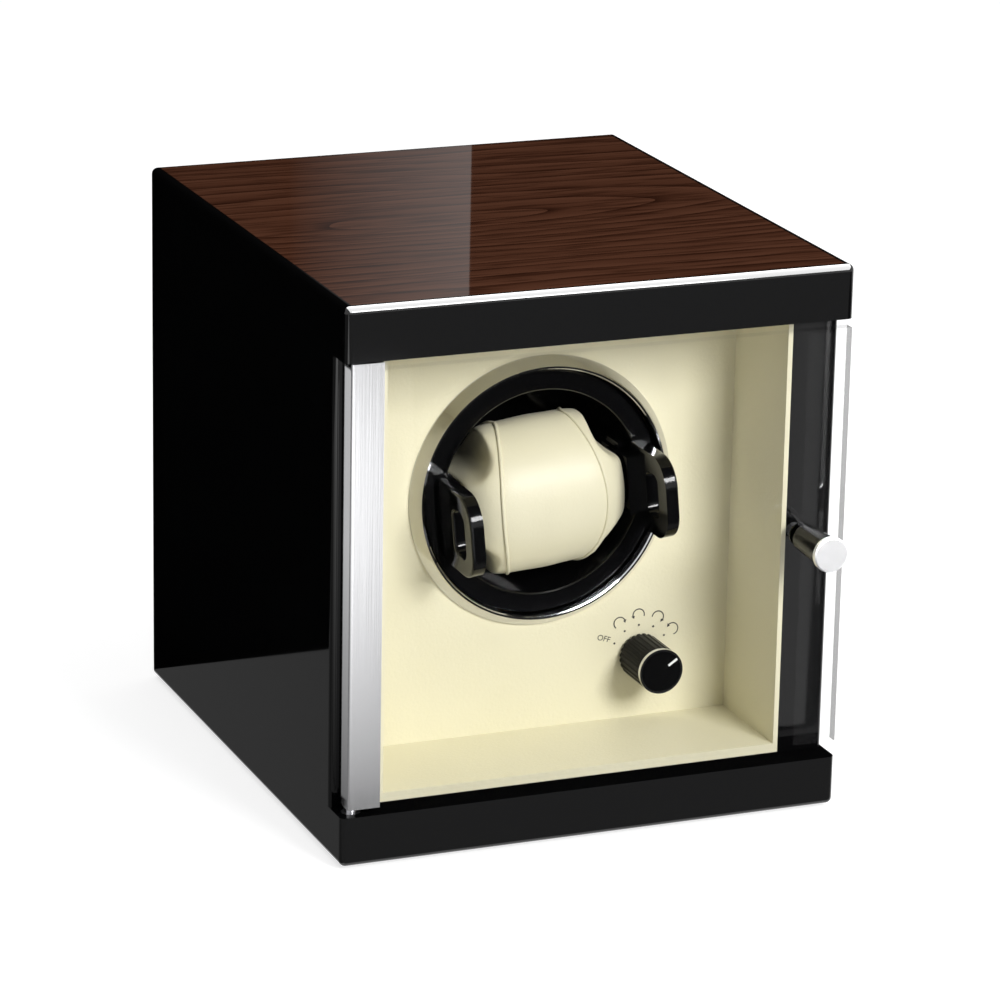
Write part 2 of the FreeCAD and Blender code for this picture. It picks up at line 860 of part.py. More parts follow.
gearbox = turned(
    "gearbox_housing",
    [
        ("plate_front", "motor_shaft_radius + running_gap"),
        ("plate_front", "gearbox_boss_radius"),
        ("plate_back", "gearbox_boss_radius"),
        ("plate_back", "gearbox_radius"),
        ("gearbox_back", "gearbox_radius"),
        ("gearbox_back", "0"),
        ("plate_back + shaft_depth + shaft_end_gap", "0"),
        ("plate_back + shaft_depth + shaft_end_gap", "motor_shaft_radius + running_gap"),
    ],
    z="motor_level",
)
gearbox_holes = sketch_on(gearbox, "XZ_Plane", "gearbox_screw_holes", "-(plate_back)")
for side in (-1, 1):
    draw_circle(gearbox_holes, f"{side} * gearbox_screw_reach", "0", "screw_radius + slip_gap")
pocket(gearbox, gearbox_holes, "screw_length")
turned(
    "motor_can",
    [
        ("gearbox_back", "0"),
        ("gearbox_back", "motor_radius"),
        ("motor_back - motor_bevel", "motor_radius"),
        ("motor_back", "motor_radius - motor_bevel"),
        ("motor_back", "motor_end_radius"),
        ("motor_back + motor_end_length", "motor_end_radius"),
        ("motor_back + motor_end_length", "0"),
    ],
    z="motor_level",
)
group(
    "gearbox_screws",
    screw_profile("plate_front", "screw_length", -1),
    GEARBOX_SCREW_PLACES,
)

# Control board on snap-in posts

plate(
    "control_board",
    rectangle(("-board_half_width", "board_half_width"), ("board_bottom", "board_top")),
    [(x, z, "spacer_tip_radius + slip_gap") for x, z in SPACER_PLACES],
    "board_front",
    "board_back",
)
group(
    "board_spacers",
    [
        ("plate_back", "0"),
        ("plate_back", "spacer_radius"),
        ("board_front", "spacer_radius"),
        ("board_front", "spacer_tip_radius"),
        ("board_front + spacer_tip_length", "spacer_tip_radius * 0.8"),
        ("board_front + spacer_tip_length", "0"),
    ],
    SPACER_PLACES,
)
PLUG_DEPTH = ("board_back", "board_back + plug_length")
PLUG_HEIGHT = ("board_middle - plug_drop - plug_half_height", "board_middle - plug_drop + plug_half_height")
components = doc.addObject("Part::MultiFuse", "board_components")
components.Shapes = [
    block(
        "driver_chip",
        ("-chip_half_width", "chip_half_width"),
        ("board_back", "board_back + chip_thickness"),
        ("board_middle - chip_half_height", "board_middle + chip_half_height"),
    ),
    rod(
        "board_capacitor", "y", "capacitor_radius", ("board_back", "board_back + capacitor_length"),
        x="capacitor_side", z="board_middle + capacitor_rise",
    ),
    block(
        "motor_plug",
        ("-plug_side - plug_half_width", "-plug_side + plug_half_width"),
        PLUG_DEPTH,
        PLUG_HEIGHT,
    ),
    block(
        "power_plug",
        ("plug_side - plug_half_width", "plug_side + plug_half_width"),
        PLUG_DEPTH,
        PLUG_HEIGHT,
    ),
]
keep(components, "board_components")

# Mode switch, with its knob turning on the switch shaft

switch = turned(
    "rotary_switch_body",
    [
        ("switch_bush_front", "switch_journal_radius + running_gap"),
        ("switch_bush_front", "switch_bush_radius"),
        ("panel_back", "switch_bush_radius"),
        ("panel_back + 1", "switch_bush_radius"),
        ("panel_back + 1", "switch_journal_radius + running_gap"),
    ],
    "switch_side",
    "switch_level",
)
switch_case = sketch_on(switch, "XZ_Plane", "switch_case", "-(panel_back + switch_depth)")
draw_polygon(switch_case, rectangle(("-switch_half", "switch_half"), ("-switch_half", "switch_half")))
pad(switch, switch_case, "switch_depth")
switch_journal = sketch_on(switch, "XZ_Plane", "switch_journal", "-(panel_back)")
draw_circle(switch_journal, "0", "0", "switch_journal_radius + running_gap")
pocket(switch, switch_journal, "switch_journal_depth + 1")
hex_nut(
    "switch_nut", "nut_flats", "nut_thickness", "switch_bush_radius + running_gap",
    "switch_side", "panel_front - nut_thickness", "switch_level",
)
turned(
    "switch_shaft",
    [
        ("panel_back + switch_journal_depth", "0"),
        ("panel_back + switch_journal_depth", "switch_journal_radius"),
        ("switch_bush_front - end_float", "switch_journal_radius"),
        ("switch_bush_front - end_float", "switch_shaft_radius"),
        ("knob_bore_end + end_float", "switch_shaft_radius"),
        ("knob_bore_end + end_float", "0"),
    ],
    "switch_side",
    "switch_level",
)
knob = turned(
    "mode_knob",
    [
        ("knob_back", "knob_counterbore"),
        ("knob_back", "knob_radius"),
        ("knob_ring_back", "knob_radius"),
        ("knob_ring_back", "knob_ring_inner"),
        ("knob_face", "knob_ring_inner"),
        ("knob_face", "0"),
        ("knob_bore_end", "0"),
        ("knob_bore_end", "switch_shaft_radius + press_gap"),
        ("knob_seat", "switch_shaft_radius + press_gap"),
        ("knob_seat", "knob_counterbore"),
    ],
    "switch_side",
    "switch_level",
)
flute_sketch = sketch_on(knob, "XZ_Plane", "knob_flute")
draw_circle(flute_sketch, "0", "knob_radius + flute_radius - flute_depth", "flute_radius")
flute = pocket(knob, flute_sketch)
flutes = knob.newObject("PartDesign::PolarPattern", "knob_flutes")
flutes.Originals = [flute]
flutes.Axis = (flute_sketch, ["N_Axis"])
flutes.Angle = 360
bind(flutes, "Occurrences", "flute_count")
knob.Tip = flutes
tube(
    "mode_knob_trim_ring", "knob_ring_inner + press_gap", "knob_radius", ("knob_front", "knob_ring_back"),
    "switch_side", "switch_level",
)
pointer = new_body("mode_knob_pointer")
pointer_outline = sketch_on(pointer, "XZ_Plane", "pointer_outline", "-(knob_face)")
draw_polygon(
    pointer_outline,
    rectangle(("pointer_inner", "knob_ring_inner - slip_gap"), ("-pointer_width / 2", "pointer_width / 2")),
)
pad(pointer, pointer_outline, "pointer_height")
pointer.Placement = FreeCAD.Placement(FreeCAD.Vector(), FreeCAD.Rotation(FreeCAD.Vector(0, -1, 0), 1.0))
bind(pointer, "Placement.Rotation.Angle", "pointer_angle")
set_place(pointer, x="switch_side", z="switch_level")
keep(pointer, "mode_knob_pointer")

# Drum, with guide ribs for the pillow clips

HUB_BORE = "bush_radius + press_gap"
drum = turned(
    "drum_cup",
    [
        ("cup_face", HUB_BORE),
        ("cup_face", "cup_radius"),
        ("flange_front - bead_height / 2", "cup_radius"),
        ("flange_front - bead_height", "cup_radius + bead_height / 2"),
        ("flange_front - bead_height", "cup_radius + bead_width - bead_height / 2"),
        ("flange_front", "cup_radius + bead_width"),
        ("flange_front", "flange_radius - flange_bevel"),
        ("flange_front + flange_bevel", "flange_radius"),
        ("flange_back", "flange_radius"),
        ("flange_back", "cup_outer"),
        ("cup_back", "cup_outer"),
        ("cup_back", "hub_radius"),
        ("hub_back", "hub_radius"),
        ("hub_back", HUB_BORE),
    ],
)
rib_sketch = sketch_on(drum, "XZ_Plane", "guide_ribs", "-(cup_face)")
RIB_BURY = "cup_radius + cup_wall / 2"
for side in (-1, 1):
    rib_near = f"(-pillow_drop + {side} * (clip_plate_half_height + guide_gap))"
    rib_far = f"(-pillow_drop + {side} * (clip_plate_half_height + guide_gap + rib_thickness))"
    draw_polygon(
        rib_sketch,
        [
            ("cup_radius - rib_inset", rib_near),
            (f"sqrt(({RIB_BURY})^2 - {rib_near}^2)", rib_near),
            (f"sqrt(({RIB_BURY})^2 - {rib_far}^2)", rib_far),
            ("cup_radius - rib_inset", rib_far),
        ],
    )
ribs = pad(drum, rib_sketch, "cup_depth - rib_short")
other_ribs = drum.newObject("PartDesign::Mirrored", "guide_ribs_mirrored")
other_ribs.Originals = [ribs]
other_ribs.MirrorPlane = (plane_of(drum, "YZ_Plane"), [""])
drum.Tip = other_ribs
doc.recompute()
gear_screw_seats = sketch_on(drum, "XZ_Plane", "gear_screw_seats", "-(cup_back)")
GEAR_SCREW_PLACES = [
    (f"{side_x} * gear_screw_circle * sqrt(0.5)", f"{side_z} * gear_screw_circle * sqrt(0.5)")
    for side_x in (-1, 1)
    for side_z in (-1, 1)
]
for x, z in GEAR_SCREW_PLACES:
    draw_circle(gear_screw_seats, x, z, "screw_radius + slip_gap")
pocket(drum, gear_screw_seats, "cup_floor * 0.8", reverse=True)
set_on_drum(drum)

tube("drum_bush", "bush_bore", "bush_radius", ("cup_face", "hub_back"), z="drum_level")
turned(
    "hub_cap",
    [
        ("cup_face", "cap_radius - cap_wall"),
        ("cup_face", "cap_radius"),
        ("cup_face - cap_height + cap_roof / 2", "cap_radius"),
        ("cup_face - cap_height", "cap_radius - cap_roof / 2"),
        ("cup_face - cap_height", "0"),
        ("cup_face - cap_height + cap_roof", "0"),
        ("cup_face - cap_height + cap_roof", "cap_radius - cap_wall"),
    ],
    z="drum_level",
)


def involute(angle):
    """The involute function of a pressure angle."""
    return math.tan(angle) - angle


def gear_outline(teeth):
    """The closed outline of a spur gear in the XZ plane, its first tooth pointing along +X."""
    pitch = number("gear_module") * teeth / 2
    base_radius = pitch * math.cos(math.radians(number("pressure_angle")))
    tip = pitch + number("gear_module") * number("tooth_addendum")
    root = pitch - number("gear_module") * number("tooth_dedendum")
    start = max(root, base_radius)
    half_at_pitch = math.pi / (2 * teeth) - number("tooth_slack") / (4 * pitch)
    half_at_base = half_at_pitch + involute(math.radians(number("pressure_angle")))

    def half_angle(radius):
        return half_at_base - involute(math.acos(min(1.0, base_radius / radius)))

    def point(radius, angle):
        return FreeCAD.Vector(radius * math.cos(angle), 0, radius * math.sin(angle))

    def arc(radius, first, last):
        middle = (first + last) / 2
        return Part.Arc(point(radius, first), point(radius, middle), point(radius, last)).toShape()

    middle_radius = (start + tip) / 2
    step = 2 * math.pi / teeth
    edges = []
    for index in range(teeth):
        turn = index * step
        rising = [point(radius, turn - half_angle(radius)) for radius in (start, middle_radius, tip)]
        falling = [point(radius, turn + half_angle(radius)) for radius in (tip, middle_radius, start)]
        if root < start:
            edges.append(Part.makeLine(point(root, turn - half_angle(start)), rising[0]))
        edges.append(Part.Arc(*rising).toShape())
        edges.append(arc(tip, turn - half_angle(tip), turn + half_angle(tip)))
        edges.append(Part.Arc(*falling).toShape())
        if root < start:
            edges.append(Part.makeLine(falling[2], point(root, turn + half_angle(start))))
        edges.append(arc(root, turn + half_angle(start), turn + step - half_angle(start)))
    return Part.Wire(edges)


def gear_solid(teeth, first_turn, near, width):
    """A spur gear blank along Y, turned so that its first tooth stands at the wanted angle."""
    solid = Part.Face(gear_outline(teeth)).extrude(FreeCAD.Vector(0, number(width), 0))
    solid.rotate(FreeCAD.Vector(), FreeCAD.Vector(0, -1, 0), first_turn)
    solid.translate(FreeCAD.Vector(0, number(near), 0))
    return solid


# The gear's first tooth points straight down, into a space of the pinion below it.
gear_shape = gear_solid(round(number("gear_teeth")), -90, "cup_back", "gear_width")
gear_bore = [
    ("cup_back - 1", "0"),
    ("cup_back - 1", "hub_radius + press_gap"),
    ("gear_back + 1", "hub_radius + press_gap"),
    ("gear_back + 1", "0"),
]
gear_shape = gear_shape.cut(turned_shape(gear_bore))
gear_hole = turned_shape([
    ("cup_back - 1", "0"),
    ("cup_back - 1", "screw_radius + slip_gap"),
    ("gear_back + 1", "screw_radius + slip_gap"),
    ("gear_back + 1", "0"),
])
tilt = FreeCAD.Rotation(FreeCAD.Vector(0, -1, 0), number("drum_tilt"))
for x, z in GEAR_SCREW_PLACES:
    gear_shape = gear_shape.cut(gear_hole.translated(tilt.multVec(FreeCAD.Vector(number(x), 0, number(z)))))
drum_gear = doc.addObject("Part::Feature", "drum_gear")
drum_gear.Shape = gear_shape
set_place(drum_gear, z="drum_level")
keep(drum_gear, "drum_gear")
gear_screws = group(
    "gear_screws",
    screw_profile("gear_back", "gear_width + cup_floor * 0.7", 1),
    GEAR_SCREW_PLACES,
)
set_on_drum(gear_screws)

pinion_teeth = round(number("pinion_teeth"))
pinion_shape = gear_solid(pinion_teeth, 90 + 180 / pinion_teeth, "cup_back + pinion_shift", "gear_width")
pinion_bore = [
    ("cup_back - 1", "0"),
    ("cup_back - 1", "motor_shaft_radius + press_gap"),
    ("gear_back + 2", "motor_shaft_radius + press_gap"),
    ("gear_back + 2", "0"),
]
motor_pinion = doc.addObject("Part::Feature", "motor_pinion")
motor_pinion.Shape = pinion_shape.cut(turned_shape(pinion_bore))
set_place(motor_pinion, z="motor_level")
keep(motor_pinion, "motor_pinion")
keep(
    rod(
        "motor_shaft", "y", "motor_shaft_radius", ("cup_back + pinion_shift", "plate_back + shaft_depth"),
        z="motor_level",
    ),
    "motor_shaft",
)

# Pillow
# A soft oval bolster, crowned in the middle, drawn in at its ends and waisted at its four corners.


def oval_wire(x, half_depth, half_height):
    """A closed oval of four arcs in a plane across X, about the pillow's own line."""
    line = FreeCAD.Vector(x, number("pillow_middle"), -number("pillow_drop"))
    end_radius = 0.62 * half_depth
    rise = half_height - end_radius
    side_radius = (half_depth**2 + rise**2 - end_radius**2) / (2 * (half_depth - end_radius))
    lean = math.atan2(rise, side_radius - half_depth)

    def end_point(sign_y, sign_z):
        y = sign_y * (half_depth - side_radius + side_radius * math.cos(lean))
        z = sign_z * side_radius * math.sin(lean)
        return line + FreeCAD.Vector(0, y, z)

    bottom = line + FreeCAD.Vector(0, 0, -half_height)
    front_side = line + FreeCAD.Vector(0, -half_depth, 0)
    top_side = line + FreeCAD.Vector(0, 0, half_height)
    back_side = line + FreeCAD.Vector(0, half_depth, 0)
    arcs = [
        Part.Arc(end_point(-1, -1), front_side, end_point(-1, 1)),
        Part.Arc(end_point(-1, 1), top_side, end_point(1, 1)),
        Part.Arc(end_point(1, 1), back_side, end_point(1, -1)),
        Part.Arc(end_point(1, -1), bottom, end_point(-1, -1)),
    ]
    return Part.Wire([piece.toShape() for piece in arcs])


# Each station gives a share of the half width, of the half depth and of the half height.
PILLOW_STATIONS = (
    (-1.0, 0.58, 0.65),
    (-0.92, 0.72, 0.78),
    (-0.77, 0.88, 0.91),
    (-0.5, 0.97, 0.98),
    (0.0, 1.0, 1.0),
    (0.5, 0.97, 0.98),
    (0.77, 0.88, 0.91),
    (0.92, 0.72, 0.78),
    (1.0, 0.58, 0.65),
)


def core_corners(grow):
    """The eight corners of the core's outline, as lines of plain names along Y and Z."""
    depth = f"(core_half_depth + {grow})"
    height = f"(core_half_height + {grow})"
    corner = "core_corner"
    quarter = [(depth, f"{height} - {corner}"), (f"{depth} - {corner}", height)]
    upper = quarter + [(f"-({y})", z) for y, z in reversed(quarter)]
    around = upper + [(f"-({y})", f"-({z})") for y, z in upper]
    return [(f"pillow_middle + {y}", f"-pillow_drop + {z}") for y, z in around]


pillow_sections = [
    oval_wire(
        share_x * number("pillow_half_width"),
        share_y * number("pillow_half_depth"),
        share_z * number("pillow_half_height"),
    )
    for share_x, share_y, share_z in PILLOW_STATIONS
]
pillow_shape = Part.makeLoft(pillow_sections, True, False)
for side_x in (-1, 1):
    for side_z in (-1, 1):
        bite_start = FreeCAD.Vector(
            side_x * number("bite_side"),
            number("pillow_middle - 2 * pillow_half_depth"),
            number(f"-pillow_drop + {side_z} * bite_rise"),
        )
        bite = Part.makeCylinder(
            number("bite_radius"), number("4 * pillow_half_depth"), bite_start, FreeCAD.Vector(0, 1, 0)
        )
        pillow_shape = pillow_shape.cut(bite)
bore_corners = [
    FreeCAD.Vector(number("-2 * pillow_half_width"), number(y), number(z))
    for y, z in core_corners("core_gap")
]
bore_face = Part.Face(Part.makePolygon(bore_corners + bore_corners[:1]))
pillow_shape = pillow_shape.cut(bore_face.extrude(FreeCAD.Vector(number("4 * pillow_half_width"), 0, 0)))
pillow = doc.addObject("Part::Feature", "pillow")
pillow.Shape = pillow_shape
set_on_drum(pillow)
keep(pillow, "pillow")

core = new_body("pillow_core")
core_outline = sketch_on(core, "YZ_Plane", "core_outline")
for corners in (core_corners("0"), core_corners("-core_wall")):
    draw_polygon(core_outline, corners)
pad(core, core_outline, "2 * clip_inner", symmetric=True)
set_on_drum(core)
keep(core, "pillow_core")


def pillow_clip(label, side):
    """A guide plate on one end of the core, with a finger loop standing out in front."""
    body = new_body(label)
    plate_low_x = "clip_inner" if side > 0 else "-clip_outer"
    loop_low_x = "clip_outer" if side > 0 else "-loop_outer"
    guide = sketch_on(body, "YZ_Plane", label + "_guide", plate_low_x)
    plate_height = (
        "-pillow_drop - clip_plate_half_height",
        "-pillow_drop + clip_plate_half_height",
    )
    draw_polygon(
        guide,
        rectangle(("pillow_middle - clip_plate_front", "pillow_middle + clip_plate_back"), plate_height),
    )
    pad(body, guide, "clip_plate_thickness")
    loop = sketch_on(body, "YZ_Plane", label + "_loop", loop_low_x)
    loop_height = ("-pillow_drop - loop_half_height", "-pillow_drop + loop_half_height")
    slot_height = ("-pillow_drop - slot_half_height", "-pillow_drop + slot_half_height")
    draw_polygon(loop, rectangle(("pillow_middle - loop_front", "pillow_middle - loop_back"), loop_height))
    draw_polygon(loop, rectangle(("pillow_middle - slot_front", "pillow_middle - slot_back"), slot_height))
    raised = pad(body, loop, "loop_thickness")
    loop_front = number("pillow_middle - loop_front")
    slot_edges = (number("pillow_middle - slot_front"), number("pillow_middle - slot_back"))
    rounded = round_edges(
        body, raised, label + "_nose", "loop_front_round",
        lambda edge: is_along(edge, "x") and abs(edge.BoundBox.YMin - loop_front) < SAME,
    )
    rounded = round_edges(
        body, rounded, label + "_slot_corners", "slot_round",
        lambda edge: is_along(edge, "x")
        and min(abs(edge.BoundBox.YMin - place) for place in slot_edges) < SAME
        and abs(abs(edge.BoundBox.ZMin + number("pillow_drop")) - number("slot_half_height")) < SAME,
    )
    outer = side * number("loop_outer")
    round_edges(
        body, rounded, label + "_edges", "loop_edge_round",
        lambda edge: abs(edge.BoundBox.XMin - outer) < SAME and abs(edge.BoundBox.XMax - outer) < SAME,
    )
    set_on_drum(body)
    return keep(body, label)


pillow_clip("clip_left", -1)
pillow_clip("clip_right", 1)

# Door
# The stile holds the pane in a slot and turns on two pins; its back corner is round about the pivot.

SLOT_FRONT = "pane_front - pane_gap"
SLOT_BACK = "pane_back + pane_gap"
SLOT_END = "pane_left - 2 * pane_gap"
STILE_OUTLINE = [
    ("stile_left", "front"),
    ("stile_right", "front"),
    ("stile_right", SLOT_FRONT),
    (SLOT_END, SLOT_FRONT),
    (SLOT_END, SLOT_BACK),
    ("stile_right", SLOT_BACK),
    ("stile_right", "stile_back"),
    ("stile_left", "stile_back"),
]
HINGE_OUTLINE = rectangle(("stile_left", "stile_right"), ("front", "stile_back"))


def hinge_bar(label, outline, low, high):
    """A length of the stile's section, rounded at the front and about the pivot at the back."""
    body = new_body(label)
    sketch = sketch_on(body, "XY_Plane", label + "_outline")
    draw_polygon(sketch, outline)
    raised = pad(body, sketch, f"({high}) - ({low})")
    left = number("stile_left")
    for name, radius, place in (
        ("back", "pivot_inset", number("stile_back")),
        ("front", "stile_front_round", number("front")),
    ):
        raised = round_edges(
            body, raised, f"{label}_{name}_round", radius,
            lambda edge: is_along(edge, "z")
            and abs(edge.BoundBox.XMin - left) < SAME
            and abs(edge.BoundBox.YMin - place) < SAME,
        )
    set_place(body, z=low)
    return keep(body, label)


def pin_hole(body, label, offset, depth, reverse):
    """A hole for a pivot pin in the end of a hinge bar."""
    sketch = sketch_on(body, "XY_Plane", label, offset)
    draw_circle(sketch, "pivot_side", "pivot_depth", "pivot_radius + press_gap")
    pocket(body, sketch, depth, reverse)


stile = hinge_bar("hinge_stile", STILE_OUTLINE, "door_bottom", "door_top")
pin_hole(stile, "stile_low_hole", "0", "pivot_grip", True)
pin_hole(stile, "stile_high_hole", "door_top - door_bottom", "pivot_grip", False)
LOW_PLATE = ("door_bottom - hinge_plate_thickness", "door_bottom")
HIGH_PLATE = ("door_top", "door_top + hinge_plate_thickness")
low_plate = hinge_bar("hinge_plate_bottom", HINGE_OUTLINE, *LOW_PLATE)
pin_hole(low_plate, "low_plate_hole", "0", None, False)
high_plate = hinge_bar("hinge_plate_top", HINGE_OUTLINE, *HIGH_PLATE)
pin_hole(high_plate, "high_plate_hole", "0", None, False)
for label, ends in (
    ("pivot_pin_bottom", ("base_top - pivot_reach", "door_bottom + pivot_grip")),
    ("pivot_pin_top", ("door_top - pivot_grip", "roof_under + pivot_reach")),
):
    keep(rod(label, "z", "pivot_radius", ends, x="pivot_side", y="pivot_depth"), label)
for label, ends in (
    ("hinge_bush_bottom", ("base_top - pivot_bush_length", "base_top")),
    ("hinge_bush_top", ("roof_under", "roof_under + pivot_bush_length")),
):
    sleeve = rod(label + "_blank", "z", "pivot_bush_radius", ends, x="pivot_side", y="pivot_depth")
    hole_ends = (f"{ends[0]} - 1", f"{ends[1]} + 1")
    hole = rod(
        label + "_hole", "z", "pivot_radius + running_gap", hole_ends,
        x="pivot_side", y="pivot_depth",
    )
    keep(cut(label, sleeve, hole), label)

plate(
    "door_pane",
    rectangle(("pane_left", "half_width"), ("door_bottom", "door_top")),
    [("door_knob_side", "door_knob_level", "door_screw_radius + slip_gap")],
    "pane_front",
    "pane_back",
)
turned(
    "door_knob",
    [
        ("pane_front", "door_screw_radius + press_gap"),
        ("pane_front", "door_knob_neck"),
        ("door_knob_cap_back", "door_knob_radius - door_knob_step"),
        ("door_knob_cap_back", "0"),
        ("pane_front - door_screw_grip - end_float", "0"),
        ("pane_front - door_screw_grip - end_float", "door_screw_radius + press_gap"),
    ],
    "door_knob_side",
    "door_knob_level",
)
turned(
    "door_knob_cap",
    [
        ("door_knob_cap_back", "0"),
        ("door_knob_cap_back", "door_knob_radius"),
        ("door_knob_front + door_knob_bevel", "door_knob_radius"),
        ("door_knob_front", "door_knob_radius - door_knob_bevel"),
        ("door_knob_front", "0"),
    ],
    "door_knob_side",
    "door_knob_level",
)
turned(
    "door_knob_screw",
    [
        ("pane_front - door_screw_grip", "0"),
        ("pane_front - door_screw_grip", "door_screw_radius"),
        ("pane_back", "door_screw_radius"),
        ("pane_back", "door_washer_radius"),
        ("pane_back + door_washer_thickness", "door_washer_radius"),
        ("pane_back + door_washer_thickness", "door_screw_head_radius"),
        ("pane_back + door_screw_head_height", "door_screw_head_radius"),
        ("pane_back + door_washer_thickness + door_screw_head_height", "door_screw_head_radius * 0.6"),
        ("pane_back + door_washer_thickness + door_screw_head_height", "0"),
    ],
    "door_knob_side",
    "door_knob_level",
)

# Every piece is checked and then written out under its own name.

doc.recompute()
for item in doc.Objects:
    if "Invalid" in item.State or "Error" in item.State:
        raise RuntimeError(f"{item.Label} did not build: {item.State}")
for item in SUBPARTS:
    if item.Shape.isNull() or not item.Shape.isValid():
        raise RuntimeError(f"{item.Label} has no valid shape")
os.makedirs("parts", exist_ok=True)
for item in SUBPARTS:
    item.Shape.exportStep(f"parts/{item.Label}.step")
print(f"{len(SUBPARTS)} pieces written")
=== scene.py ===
# %% [markdown]
# A watch winder is a small lacquered cabinet with a clear door. Behind the door, a motor turns a drum that
# carries a soft pillow. The solids come from the CAD frame, already in place and in metres. This script
# dresses them: finishes first, then the soft pillow, the printed marks and the small screws.

# %% The frame
import json
import math
import bmesh
import bpy
from mathutils import Matrix, Vector
from mathutils.bvhtree import BVHTree


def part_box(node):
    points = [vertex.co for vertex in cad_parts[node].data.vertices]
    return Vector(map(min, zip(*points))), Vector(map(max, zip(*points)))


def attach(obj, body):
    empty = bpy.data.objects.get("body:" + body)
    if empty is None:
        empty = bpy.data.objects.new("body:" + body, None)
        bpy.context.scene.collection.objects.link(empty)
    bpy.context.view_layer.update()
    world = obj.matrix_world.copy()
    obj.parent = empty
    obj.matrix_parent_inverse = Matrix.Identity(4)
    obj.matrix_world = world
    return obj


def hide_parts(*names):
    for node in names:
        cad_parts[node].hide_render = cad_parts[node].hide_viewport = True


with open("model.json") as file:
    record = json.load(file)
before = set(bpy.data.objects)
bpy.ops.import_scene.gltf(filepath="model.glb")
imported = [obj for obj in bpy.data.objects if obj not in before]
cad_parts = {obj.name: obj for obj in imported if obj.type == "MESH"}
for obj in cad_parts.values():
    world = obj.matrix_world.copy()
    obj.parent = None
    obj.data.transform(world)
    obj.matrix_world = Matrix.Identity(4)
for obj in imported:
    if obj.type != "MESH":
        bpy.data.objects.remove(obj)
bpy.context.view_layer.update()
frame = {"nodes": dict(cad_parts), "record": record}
scene = bpy.context.scene
scene.view_settings.view_transform = "Standard"

# %% [markdown]
# The camera is a long lens far from the box, as product photographs use, so the edges stay nearly parallel.
# Its angles and its place were solved from the corners of the case. A small roll keeps the picture's slight
# tilt. The axes are built one by one, because a camera that is only aimed at a point can't hold a roll.

# %% Camera
CAMERA_AZIMUTH = math.radians(-22.275)
CAMERA_ELEVATION = math.radians(17.494)
CAMERA_ROLL = math.radians(1.131)
CAMERA_PLACE = Vector((-0.51643, -1.27289, 0.51261))
LENS_MM = 166.53
SENSOR_MM = 36.0

toward_camera = Vector((
    math.sin(CAMERA_AZIMUTH) * math.cos(CAMERA_ELEVATION),
    -math.cos(CAMERA_AZIMUTH) * math.cos(CAMERA_ELEVATION),
    math.sin(CAMERA_ELEVATION),
))
level_right = Vector((math.cos(CAMERA_AZIMUTH), math.sin(CAMERA_AZIMUTH), 0.0))
level_up = toward_camera.cross(level_right)
camera_right = math.cos(CAMERA_ROLL) * level_right + math.sin(CAMERA_ROLL) * level_up
camera_up = math.cos(CAMERA_ROLL) * level_up - math.sin(CAMERA_ROLL) * level_right
camera_data = bpy.data.cameras.new("photo_camera")
camera_data.sensor_width = SENSOR_MM
camera_data.lens = LENS_MM
camera = bpy.data.objects.new("photo_camera", camera_data)
camera_turn = Matrix((camera_right, camera_up, toward_camera)).transposed().to_4x4()
camera.matrix_world = Matrix.Translation(CAMERA_PLACE) @ camera_turn
scene.collection.objects.link(camera)
scene.camera = camera
print("camera at", tuple(round(value, 3) for value in CAMERA_PLACE))

# %% [markdown]
# Each finish is a tree of nodes. Three helpers keep the recipes short: one starts a finish, one adds a node
# with its settings, and one gives the places that a pattern reads. Those are Object coordinates in metres,
# so a pattern's scale counts per metre, and the pattern stays with its piece when the piece moves.

# %% Helpers for nodes
FINISHES = {}


def start_finish(name, colour, roughness, metallic=0.0):
    """A new material with its tree and its main shader."""
    material = bpy.data.materials.new(name)
    material.use_nodes = True
    tree = material.node_tree
    shader = tree.nodes["Principled BSDF"]
    shader.inputs["Base Color"].default_value = (*colour, 1.0)
    shader.inputs["Roughness"].default_value = roughness
    shader.inputs["Metallic"].default_value = metallic
    return material, tree, shader


def add_node(tree, kind, source=None, **settings):
    """A node whose settings are sockets, with _ for a space, or else properties."""
    node = tree.nodes.new(kind)
    for name, value in settings.items():
        socket = node.inputs.get(name.replace("_", " "))
        if socket is not None:
            socket.default_value = value
        else:
            setattr(node, name, value)
    if source is not None:
        tree.links.new(source, node.inputs[0])
    return node


def object_places(tree, scale=(1.0, 1.0, 1.0), move=(0.0, 0.0, 0.0)):
    """Object coordinates through a Mapping node."""
    places = tree.nodes.new("ShaderNodeTexCoord")
    mapping = add_node(tree, "ShaderNodeMapping", places.outputs["Object"])
    mapping.inputs["Scale"].default_value = scale
    mapping.inputs["Location"].default_value = move
    return mapping.outputs["Vector"]


print("helpers: start_finish, add_node, object_places")

# %% [markdown]
# Real surfaces are never quite even. Two more helpers break a surface up: one turns a pattern into small
# heights, and one lets the roughness wander between two limits. Both are far weaker than the eye would
# name, and without them a render looks like plastic.

# %% Helpers for surfaces
def add_bump(tree, shader, height, distance, strength):
    """Small heights, with their depth in metres."""
    bump = tree.nodes.new("ShaderNodeBump")
    bump.inputs["Distance"].default_value = distance
    bump.inputs["Strength"].default_value = strength
    tree.links.new(height, bump.inputs["Height"])
    tree.links.new(bump.outputs["Normal"], shader.inputs["Normal"])


def vary_roughness(tree, shader, scale, low, high):
    """Roughness that wanders between low and high."""
    noise = add_node(tree, "ShaderNodeTexNoise", object_places(tree), Scale=scale, Detail=3.0)
    spread = add_node(tree, "ShaderNodeMapRange", noise.outputs["Fac"], To_Min=low, To_Max=high)
    tree.links.new(spread.outputs["Result"], shader.inputs["Roughness"])


print("helpers: add_bump, vary_roughness")

# %% [markdown]
# Piano lacquer is a deep black with a mirror gloss. It is sprayed in many coats and polished flat, but
# never quite flat. A very weak, broad ripple keeps its reflections from looking like a perfect mirror.

